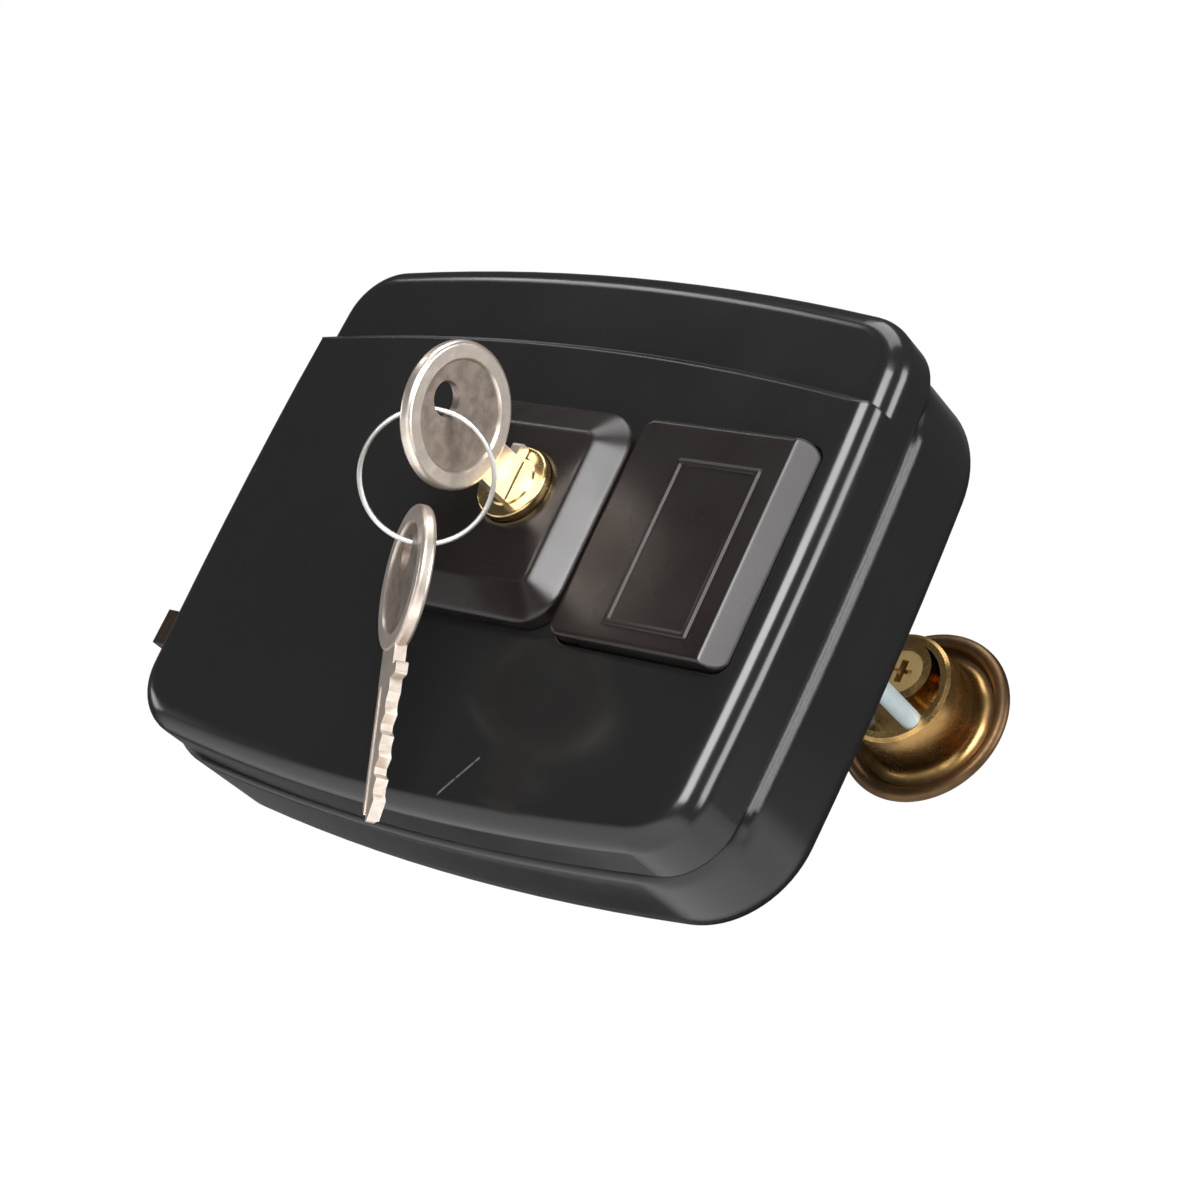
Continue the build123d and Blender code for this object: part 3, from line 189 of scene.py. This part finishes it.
def scratch_mask(tree, coords):
    """About 1 along the broken scratch, from the distance to the straight line between its ends."""
    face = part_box("front_cover")[0].y
    start, end = (Vector((x * MM, face, z * MM)) for x, z in (SCRATCH_START, SCRATCH_END))
    along = end - start
    offset = add(tree, "VectorMath", coords, start, operation="SUBTRACT")
    share = add(tree, "VectorMath", offset, along / along.length_squared, operation="DOT_PRODUCT")
    share = add(tree, "Math", share, 0.0, operation="ADD", use_clamp=True)
    foot = add(tree, "VectorMath", along, share, operation="SCALE")
    gap = add(tree, "VectorMath", offset, foot, operation="DISTANCE")
    line = add(tree, "MapRange", gap, SCRATCH_WIDTH * MM / 2, SCRATCH_WIDTH * MM / 6, **SMOOTH)
    breaks = mottle(tree, coords, SCRATCH_BREAKS, detail=2.0)
    broken = add(tree, "MapRange", breaks, 0.22, 0.46, **SMOOTH)
    return add(tree, "Math", line, broken, operation="MULTIPLY")


def moulded_plastic(name, colour, worn, rough, haze=0.10, soft_mm=0.0, scratched=False):
    """Injection-moulded plastic: faint orange peel, hazy patches, hairline scuffs and rubbed edges."""
    mat, tree, coords = new_material(name)
    patches = mottle(tree, coords, HAZE_PATCHES, detail=4.0)
    specks = mottle(tree, coords, EDGE_SPECKS, detail=2.0)
    peel = mottle(tree, coords, ORANGE_PEEL, detail=2.0)
    hairs = mottle(tree, coords, HAIRLINES, detail=2.0, rough=0.6, stretch=HAIRLINE_STRETCH)
    broken = add(tree, "MapRange", specks, 0.35, 0.65, 0.3, 1.0, **SMOOTH)
    edges = add(tree, "Math", edge_mask(tree, RUBBED_PLASTIC_EDGE), broken, operation="MULTIPLY")
    rubbed = add(tree, "Math", edges, RUBBED_PLASTIC_SHARE, operation="MULTIPLY")
    base = add(tree, "Mix", rubbed, hex_colour(colour), hex_colour(worn), **COLOUR)
    hazy = add(tree, "MapRange", patches, 0.3, 0.75, rough, rough + haze, **SMOOTH)
    scuffs = add(tree, "MapRange", hairs, 0.66, 0.78, **SMOOTH)
    roughness = add(tree, "Math", scuffs, HAIRLINE_DULLING, hazy, operation="MULTIPLY_ADD")
    if scratched:
        mark = scratch_mask(tree, coords)
        base = add(tree, "Mix", mark, base, hex_colour(SCRATCH_TONE), **COLOUR)
        roughness = add(tree, "Math", mark, SCRATCH_DULLING, roughness, operation="MULTIPLY_ADD")
    finish_surface(tree, base, 0.0, roughness, peel, PEEL_DEPTH, soft_mm)
    return mat


# Turned brass

BRASS_STAINS = 7.0
STAIN_DULLING = 0.12
BRASS_SPECKS = 0.6
SPECK_DULLING = 0.08
TURNING_LINES = 0.12
TURNING_STRETCH = (30, 1, 30)
TURNING_DEPTH = 0.004
RUBBED_METAL_EDGE = 0.3
RUBBED_BRASS_SHARE = 0.5
RUBBED_BRASS_TONE = "F6DFA0"

# The outer collar's rim, painted dark brown as a painted dark reflection and made rougher: the paint starts
# past the bright dish and is whole at the dark rim's radius

BRIGHT_DISH_RADIUS = 12.4
PAINTED_DARK_RIM_RADIUS = 14.6
DARK_RIM_BORDER_PATCHES = 4.0
DARK_RIM_BORDER_WANDER = 2.0
PAINTED_DARK_RIM_SHARE = 0.85
DARK_RIM_DULLING = 0.16
PAINTED_DARK_REFLECTION_TONE = "46352C"


def collar_rim_mask(tree, coords):
    """0 on the outer collar's bright dish and 1 on the rim round it, where the dark reflection is painted,
    with an uneven border.
    """
    low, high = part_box("outer_body")
    axis = (low + high) / 2
    axis.y = 0
    flat = add(tree, "VectorMath", coords, (1, 0, 1), operation="MULTIPLY")
    reach = add(tree, "VectorMath", flat, axis, operation="DISTANCE")
    patches = mottle(tree, coords, DARK_RIM_BORDER_PATCHES)
    uneven = add(tree, "Math", patches, DARK_RIM_BORDER_WANDER * MM, reach, operation="MULTIPLY_ADD")
    return add(tree, "MapRange", uneven, BRIGHT_DISH_RADIUS * MM, PAINTED_DARK_RIM_RADIUS * MM, **SMOOTH)


def turned_brass(name, bright, dark, rough, stain, painted_dark_rim=False):
    """Turned brass: lines round the axis, darker stains, rubbed edges and, on the collar, a rim with a
    painted dark reflection in dark brown, made rougher.
    """
    mat, tree, coords = new_material(name)
    clouds = mottle(tree, coords, BRASS_STAINS, detail=5.0, rough=0.6)
    specks = mottle(tree, coords, BRASS_SPECKS)
    lines = mottle(tree, coords, TURNING_LINES, detail=2.0, stretch=TURNING_STRETCH)
    stains = add(tree, "MapRange", clouds, 0.35, 0.7, 0.0, stain, **SMOOTH)
    base = add(tree, "Mix", stains, hex_colour(bright), hex_colour(dark), **COLOUR)
    base = rub_edges(tree, base, RUBBED_METAL_EDGE, RUBBED_BRASS_SHARE, RUBBED_BRASS_TONE)
    cloudy = add(tree, "MapRange", clouds, 0.3, 0.7, rough, rough + STAIN_DULLING, **SMOOTH)
    speckled = add(tree, "MapRange", specks, 0.5, 0.8, 0.0, SPECK_DULLING, **SMOOTH)
    roughness = add(tree, "Math", cloudy, speckled, operation="ADD")
    if painted_dark_rim:
        # Painted dark reflection: the collar's rim is painted dark brown, and is also made rougher
        rim = collar_rim_mask(tree, coords)
        painted_dark = add(tree, "Math", rim, PAINTED_DARK_RIM_SHARE, operation="MULTIPLY")
        base = add(tree, "Mix", painted_dark, base, hex_colour(PAINTED_DARK_REFLECTION_TONE), **COLOUR)
        roughness = add(tree, "Math", rim, DARK_RIM_DULLING, roughness, operation="MULTIPLY_ADD")
    finish_surface(tree, base, 1.0, roughness, lines, TURNING_DEPTH)
    return mat


# Steel and nickel silver

STEEL_CLOUDS = 5.0
CLOUD_DULLING = 0.14
DRAWN_GRAIN = 0.15
DRAWN_DEPTH = 0.004
GRAIN_DULLING = 0.06
DRAWN_ALONG_X = (30, 1, 1)
DRAWN_ALONG_Y = (1, 30, 1)
DRAWN_ALONG_Z = (1, 1, 30)
PLATING_PATCHES = 2.5
PLATING_SHARE = 0.2
RUBBED_STEEL_SHARE = 0.4
RUBBED_STEEL_TONE = "F4F2EE"

# The keys: their stamped grain, and the round panels of their bows, placed in the lock's frame

STAMPED_GRAIN = 0.3
STAMPED_DEPTH = 0.006
STAMPED_STRETCH = (1, 8, 8)
BOW_MIDDLES = ((9.8, -58.4, 4.4), (10.74, -52.9, -23.45))
BOW_PANEL_RADIUS = 9.6
BOW_BLOTCHES = 2.2
BOW_PANEL_DULLING = 0.06
BOW_PANEL_TONE = "7E7066"


def bow_panel_mask(tree, coords):
    """About 1 within the panel radius of either bow's middle."""
    radius = BOW_PANEL_RADIUS * MM
    mask = 0.0
    for middle in BOW_MIDDLES:
        gap = add(tree, "VectorMath", coords, Vector(middle) * MM, operation="DISTANCE")
        disc = add(tree, "MapRange", gap, radius, 0.95 * radius, **SMOOTH)
        mask = add(tree, "Math", disc, mask, operation="MAXIMUM")
    return mask


def steel(name, bright, dark, rough, grain=DRAWN_ALONG_Z, metallic=1.0, plating=None, stamped=False):
    """Steel or nickel silver: clouds, grain, rubbed edges, a plating's passing colour or stamped panels."""
    mat, tree, coords = new_material(name)
    clouds = mottle(tree, coords, STEEL_CLOUDS, detail=4.0, rough=0.6)
    lines = mottle(tree, coords, STAMPED_GRAIN if stamped else DRAWN_GRAIN, rough=0.6, stretch=grain)
    darker = add(tree, "MapRange", clouds, 0.3, 0.75, **SMOOTH)
    base = add(tree, "Mix", darker, hex_colour(bright), hex_colour(dark), **COLOUR)
    if plating:
        patches = mottle(tree, coords, PLATING_PATCHES)
        tinted = add(tree, "MapRange", patches, 0.45, 0.7, 0.0, PLATING_SHARE, **SMOOTH)
        base = add(tree, "Mix", tinted, base, hex_colour(plating), **COLOUR)
    base = rub_edges(tree, base, RUBBED_METAL_EDGE, RUBBED_STEEL_SHARE, RUBBED_STEEL_TONE)
    cloudy = add(tree, "MapRange", clouds, 0.25, 0.75, rough, rough + CLOUD_DULLING, **SMOOTH)
    grained = add(tree, "MapRange", lines, 0.4, 0.8, 0.0, GRAIN_DULLING, **SMOOTH)
    roughness = add(tree, "Math", cloudy, grained, operation="ADD")
    if stamped:
        panel = bow_panel_mask(tree, coords)
        blotches = mottle(tree, coords, BOW_BLOTCHES, detail=4.0, rough=0.6)
        blotchy = add(tree, "MapRange", blotches, 0.35, 0.65, 0.70, 0.90, **SMOOTH)
        dulled = add(tree, "Math", panel, blotchy, operation="MULTIPLY")
        base = add(tree, "Mix", dulled, base, hex_colour(BOW_PANEL_TONE), **COLOUR)
        roughness = add(tree, "Math", panel, BOW_PANEL_DULLING, roughness, operation="MULTIPLY_ADD")
    finish_surface(tree, base, metallic, roughness, lines, STAMPED_DEPTH if stamped else DRAWN_DEPTH)
    return mat


# Winding: its ridges are drawn about two wires wide, so that they show

WINDING_RIDGES = 0.888
WINDING_DEPTH = 0.15
WINDING_UNEVENNESS = 0.4
WINDING_SHADES = 3.0
WINDING_METALLIC = 0.8


def enamelled_wire(name, light, dark, rough):
    """Copper winding under clear enamel: the wave node repeats after 2 pi / 20 of its scaled coordinate."""
    mat, tree, coords = new_material(name)
    scale = 2 * math.pi / (20 * WINDING_RIDGES * MM)
    bands = {"wave_type": "BANDS", "bands_direction": "X"}
    ridges = add(tree, "TexWave", coords, scale, WINDING_UNEVENNESS, output="Fac", **bands)
    shades = mottle(tree, coords, WINDING_SHADES)
    base = add(tree, "Mix", shades, hex_colour(light), hex_colour(dark), **COLOUR)
    enamel = {"Coat Weight": 0.6, "Coat Roughness": 0.15}
    finish_surface(tree, base, WINDING_METALLIC, rough, ridges, WINDING_DEPTH, coat=enamel)
    return mat


# Finishes: each is named for the real material and process, and its comment says what the eye gets

FINISHES = {
    # Gloss black ABS: near black, with clear reflections that wave slightly, and one light scratch
    "cover": moulded_plastic("gloss_black_abs_moulded", "191919", worn="3E3E40", rough=0.16, haze=0.06,
                             soft_mm=0.6, scratched=True),
    # The same plastic with wide rounded edges, which spread the light along them into a soft band
    "base": moulded_plastic("gloss_black_abs_soft_edged", "191919", worn="3E3E40", rough=0.10,
                            soft_mm=3.8),
    # Brown-black ABS, a little hazier from handling, which looks warm beside the case
    "boss": moulded_plastic("gloss_brown_black_abs_moulded", "191413", worn="4A4440", rough=0.22,
                            haze=0.14, soft_mm=1.4),
    # The same plastic with crisp edges, which catch a thin line of light
    "button": moulded_plastic("gloss_brown_black_abs_crisp_edged", "191413", worn="4A4440", rough=0.22,
                              haze=0.14, soft_mm=0.6),
    # Black nylon inside the case: satin, with soft reflections
    "inner_nylon": moulded_plastic("black_nylon_moulded", "1A1A1C", worn="4A4A4C", rough=0.45),
    # Cream nylon of the spool and the terminals: satin and pale
    "spool": moulded_plastic("cream_nylon_moulded", "CFC7AE", worn="E8E2CC", rough=0.42),
    # Polished brass: pale gold with bright, almost clear highlights
    "bright_brass": turned_brass("polished_brass_turned", "F2D59C", "C6A264", rough=0.12, stain=0.35),
    # Sawn brass end: tan and matt, with no clear highlight
    "sawn_brass": turned_brass("brass_plug_sawn_end", "EBCB8C", "BE9C62", rough=0.42, stain=0.5),
    # Darkened brass: brown-gold with deep stains, and a painted dark reflection in dark brown on its rim
    "dark_brass": turned_brass("darkened_brass_turned_painted_dark_rim", "C29A5E", "66512F", rough=0.20, stain=0.75,
                               painted_dark_rim=True),
    # Zinc plate on pressed steel: blue-grey and satin, with faint green patches
    "zinc": steel("zinc_plated_steel_pressed", "CFD7DE", "A6B0B9", rough=0.26, metallic=0.7,
                  plating="B7C6B4"),
    # Clear passivated zinc on the long screws: pale blue-grey and more chalky than shiny
    "zinc_rod": steel("zinc_plated_screw_clear_passivated", "AFBBBE", "97A3A6", rough=0.34,
                      grain=DRAWN_ALONG_Y, metallic=0.35, plating="B4C8C0"),
    # Plain milled steel: mid grey with blurred highlights
    "steel": steel("plain_steel_milled", "A9A9AB", "77787B", rough=0.30),
    # Nickel plate on the bolt: warm white metal with sharp highlights
    "nickel": steel("nickel_plated_steel_bolt", "CFCCC6", "B4B0A9", rough=0.18, grain=DRAWN_ALONG_X),
    # Browned steel of the small bolt: dark brown with a dull shine
    "browned_steel": steel("browned_steel_bolt", "7E6B5E", "54453B", rough=0.30, grain=DRAWN_ALONG_X),
    # Drawn spring wire: dark grey with a line of light along each turn
    "spring_wire": steel("spring_wire_drawn", "8F9196", "6A6C70", rough=0.28),
    # Stamped nickel silver: pinkish white with a fine grain, and darker panels in the bows
    "key": steel("nickel_silver_stamped", "EADFD3", "C2B3A6", rough=0.26, grain=STAMPED_STRETCH,
                 metallic=0.9, stamped=True),
    # Bright drawn wire of the ring: white with soft highlights
    "ring": steel("bright_steel_wire_drawn", "E0DEDC", "B9B7B5", rough=0.28),
    # Enamelled copper: red-brown ridges under a clear wet-looking coat
    "winding": enamelled_wire("enamelled_copper_winding", "9C4A22", "6E2F14", rough=0.32),
}

FINISHED_PIECES = {
    "cover": ["front_cover"],
    "base": ["rear_case"],
    "boss": ["cylinder_boss"],
    "button": ["push_button"],
    "inner_nylon": ["button_tray", "button_switch"],
    "spool": ["coil_bobbin", "terminal_block"],
    "bright_brass": ["cylinder_body", "inner_plug", "cylinder_nut"],
    "sawn_brass": ["outer_plug"],
    "dark_brass": ["outer_body"],
    "zinc": ["back_plate", "cover_screws", "guide_plate", "spring_bridge", "solenoid_yoke",
             "hub_strap", "terminal_screws", "catch_pin", "boss_clips"],
    "zinc_rod": ["tie_screws"],
    "steel": ["pole_piece", "armature", "tail_bar", "catch_lever", "inner_cam", "outer_hub"],
    "nickel": ["latch_bolt"],
    "browned_steel": ["arming_plunger"],
    "key": ["key_in_lock", "spare_key"],
    "ring": ["key_ring"],
    "winding": ["coil_winding"],
}


def dress(obj, mat):
    """The object with one material on all its faces."""
    obj.data.materials.clear()
    obj.data.materials.append(mat)


def new_piece(name, points, faces):
    """A mesh object at the origin, made of the given points and faces."""
    mesh = bpy.data.meshes.new(name)
    mesh.from_pydata(points, [], faces)
    obj = bpy.data.objects.new(name, mesh)
    bpy.context.scene.collection.objects.link(obj)
    return obj


# Springs: round wire in place of the plainer CAD coils, each carried by its coil's body

WIRE_SIDES = 14
STEPS_PER_TURN = 48
END_CLOSING = 0.7


def coil_spring(node, along, turns, wire_radius_mm):
    """A round wire on a helix whose end turns lie closer, carried by the body of the coil it replaces.

    The wire's middle goes round the axis k at radius R through the angle t while it climbs to z(t),
    and a circle of radius w and angle u is carried along it:
    p(t, u) = c + (R + w cos u) (cos t a + sin t b) + (z(t) + w sin u) k, where
    z(t) = L (s - q sin(2 pi s) / 2 pi), s = t / (2 pi turns), q is END_CLOSING, and L is the coil's
    length less the wire's thickness.
    """
    low, high = (np.array(corner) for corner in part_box(node))
    wire = wire_radius_mm * MM
    across = [i for i in range(3) if i != along]
    radius = (high[across[0]] - low[across[0]]) / 2 - wire
    middle = (low + high) / 2
    run = high[along] - low[along] - 2 * wire
    t = np.linspace(0, 2 * np.pi * turns, int(turns * STEPS_PER_TURN) + 1)
    u = np.linspace(0, 2 * np.pi, WIRE_SIDES, endpoint=False)
    share = t / t[-1]
    rise = low[along] + wire + run * (share - END_CLOSING * np.sin(2 * np.pi * share) / (2 * np.pi))
    out = radius + wire * np.cos(u)[None, :]
    points = np.zeros((len(t), WIRE_SIDES, 3))
    points[:, :, across[0]] = middle[across[0]] + out * np.cos(t)[:, None]
    points[:, :, across[1]] = middle[across[1]] + out * np.sin(t)[:, None]
    points[:, :, along] = rise[:, None] + wire * np.sin(u)[None, :]
    side = np.arange(WIRE_SIDES)
    next_side = np.roll(side, -1)
    ring = WIRE_SIDES * np.arange(len(t) - 1)[:, None]
    next_ring = ring + WIRE_SIDES
    corners = [ring + side, ring + next_side, next_ring + next_side, next_ring + side]
    walls = np.stack(corners, axis=-1).reshape(-1, 4).tolist()
    ends = [side[::-1].tolist(), (next_ring[-1] + side).tolist()]
    obj = new_piece(node + "_wire", points.reshape(-1, 3).tolist(), walls + ends)
    obj.data.validate()
    obj.data.polygons.foreach_set("use_smooth", [True] * len(walls) + [False] * len(ends))
    dress(obj, FINISHES["spring_wire"])
    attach(obj, body_of(NODES[node])[0])
    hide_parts(node)
    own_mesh(obj)


# Floor: well below the wall-mounted lock; its sizes are in metres and its speckle in millimetres

FLOOR_RADIUS = 0.75
FLOOR_LEVEL = -0.30
FLOOR_SIDES = 96
FADE_START = 0.45
FADE_END = 0.78
FLOOR_SPECKLE = 40.0
FLOOR_ROUGHNESS = 0.8
FLOOR_TONE = "E6E6E6"
FLOOR_SPECKLE_TONE = "ECECEC"
FLOOR_BOUNCE_TONE = "E4E4E4"


def studio_floor():
    """A round pale floor that fades out towards its edge: x = r cos t, y = r sin t at a constant z."""
    turn = np.linspace(0, 2 * np.pi, FLOOR_SIDES, endpoint=False)
    level = np.full(FLOOR_SIDES, FLOOR_LEVEL)
    rim = np.stack([FLOOR_RADIUS * np.cos(turn), FLOOR_RADIUS * np.sin(turn), level], axis=1)
    obj = new_piece("floor", rim.tolist(), [list(range(FLOOR_SIDES))])
    mat, tree, coords = new_material("pale_floor")
    speckle = mottle(tree, coords, FLOOR_SPECKLE)
    seen = add(tree, "Mix", speckle, hex_colour(FLOOR_TONE), hex_colour(FLOOR_SPECKLE_TONE), **COLOUR)
    camera_ray = add(tree, "LightPath", output="Is Camera Ray")
    tone = add(tree, "Mix", camera_ray, hex_colour(FLOOR_BOUNCE_TONE), seen, **COLOUR)
    matt = add(tree, "BsdfPrincipled", sockets={"Base Color": tone, "Roughness": FLOOR_ROUGHNESS})
    reach = add(tree, "VectorMath", coords, operation="LENGTH")
    fade = add(tree, "MapRange", reach, FADE_START, FADE_END, **SMOOTH)
    clear = add(tree, "BsdfTransparent")
    add(tree, "OutputMaterial", add(tree, "MixShader", fade, matt, clear))
    dress(obj, mat)


# Surroundings: directions as unit vectors, and how bright each is, where 1 is white

BEHIND_LOCK = (-0.642, 0.711, 0.288)
SURROUNDINGS_LEVEL = 0.06
BACKDROP_LEVEL = 0.16
CORNER_GLOW = (0.540, 0.772, -0.335)
CORNER_GLOW_LEVEL = 0.95
EVEN_LIGHT = 0.55


def studio_world():
    """White for the camera, an even grey light, and dim surroundings with one soft glow for reflections."""
    world = bpy.data.worlds.new("studio")
    bpy.context.scene.world = world
    world.use_nodes = True
    tree = world.node_tree
    tree.nodes.clear()
    heading = add(tree, "TexCoord", output="Generated")
    ahead = add(tree, "VectorMath", heading, BEHIND_LOCK, operation="DOT_PRODUCT")
    backdrop = add(tree, "MapRange", ahead, 0.80, 0.97, SURROUNDINGS_LEVEL, BACKDROP_LEVEL, **SMOOTH)
    corner = add(tree, "VectorMath", heading, CORNER_GLOW, operation="DOT_PRODUCT")
    glow = add(tree, "MapRange", corner, 0.80, 0.975, 0.0, CORNER_GLOW_LEVEL, **SMOOTH)
    reflected = add(tree, "Math", backdrop, glow, operation="MAXIMUM")
    camera_ray = add(tree, "LightPath", output="Is Camera Ray")
    glossy_ray = add(tree, "LightPath", output="Is Glossy Ray")
    through_ray = add(tree, "LightPath", output="Is Transmission Ray")
    shiny = add(tree, "Math", glossy_ray, through_ray, operation="MAXIMUM")
    shiny_level = add(tree, "Math", shiny, reflected, operation="MULTIPLY")
    seen = add(tree, "Math", camera_ray, shiny_level, operation="MAXIMUM")
    other = add(tree, "Math", 1.0, shiny, operation="SUBTRACT")
    plain = add(tree, "Math", other, EVEN_LIGHT, operation="MULTIPLY")
    level = add(tree, "Math", seen, plain, operation="MAXIMUM")
    add(tree, "OutputWorld", add(tree, "Background", (1, 1, 1, 1), level))


# Lamps and camera: both are placed by a direction round the lock, and look back at an aim in metres

LAMP_AIM = (0.015, -0.02, 0)


def direction(azimuth, elevation):
    """The unit vector to a place round the lock: azimuth 0 is straight in front, and grows to its right."""
    level = math.cos(elevation)
    return Vector((math.sin(azimuth) * level, -math.cos(azimuth) * level, math.sin(elevation)))


def softbox(name, azimuth, elevation, distance, width, height, power):
    """A rectangular area lamp that faces the lock: angles in degrees, sizes in metres, power in watts."""
    lamp = bpy.data.lights.new(name, "AREA")
    lamp.shape = "RECTANGLE"
    lamp.size = width
    lamp.size_y = height
    lamp.energy = power
    obj = bpy.data.objects.new(name, lamp)
    bpy.context.scene.collection.objects.link(obj)
    heading = direction(math.radians(azimuth), math.radians(elevation))
    obj.location = Vector(LAMP_AIM) + heading * distance
    obj.rotation_euler = heading.to_track_quat("Z", "Y").to_euler()


# The photograph's camera, found by fitting the case's outline: angles in radians, distances in metres

CAMERA_AZIMUTH = 0.735
CAMERA_ELEVATION = -0.292
CAMERA_ROLL = 0.44
CAMERA_DISTANCE = 0.4771
CAMERA_AIM = (0.0212, -0.020, -0.0075)
FOCAL_LENGTH_PIXELS = 2807
PHOTO_WIDTH_PIXELS = 1200
SENSOR_WIDTH_MM = 36.0


def photo_camera():
    """A camera that looks at its aim and is rolled about its line of sight."""
    back = direction(CAMERA_AZIMUTH, CAMERA_ELEVATION)
    level_right = (-back).cross(Vector((0, 0, 1))).normalized()
    level_up = level_right.cross(-back)
    right = level_right * math.cos(CAMERA_ROLL) + level_up * math.sin(CAMERA_ROLL)
    up = level_up * math.cos(CAMERA_ROLL) - level_right * math.sin(CAMERA_ROLL)
    spot = Vector(CAMERA_AIM) + back * CAMERA_DISTANCE
    data = bpy.data.cameras.new("camera")
    data.sensor_width = SENSOR_WIDTH_MM
    data.lens = FOCAL_LENGTH_PIXELS / PHOTO_WIDTH_PIXELS * SENSOR_WIDTH_MM
    data.clip_start = 0.01
    data.clip_end = 50
    camera = bpy.data.objects.new("camera", data)
    bpy.context.scene.collection.objects.link(camera)
    turned = Matrix((right, up, back)).transposed().to_4x4()
    camera.matrix_world = Matrix.Translation(spot) @ turned
    bpy.context.scene.camera = camera


for finish, names in FINISHED_PIECES.items():
    for name in names:
        dress(NODES[name], FINISHES[finish])

coil_spring("latch_spring", along=X, turns=6, wire_radius_mm=0.5)
coil_spring("plunger_spring", along=X, turns=6, wire_radius_mm=0.4)
coil_spring("button_spring", along=Y, turns=4, wire_radius_mm=0.35)
coil_spring("armature_spring", along=X, turns=4, wire_radius_mm=0.35)

studio_floor()
studio_world()
softbox("bevel_light", 29, 12, 1.1, width=0.54, height=0.7, power=16)
softbox("top_soft", -20, 70, 1.3, width=0.9, height=0.9, power=10)
softbox("step_light", -52, 36, 1.2, width=0.34, height=0.16, power=1.05)
softbox("left_fill", -70, -10, 1.4, width=0.4, height=0.4, power=2.2)
softbox("rear_right", 94, 18, 1.2, width=0.5, height=0.9, power=13)
photo_camera()
bpy.context.scene.view_settings.view_transform = "Standard"
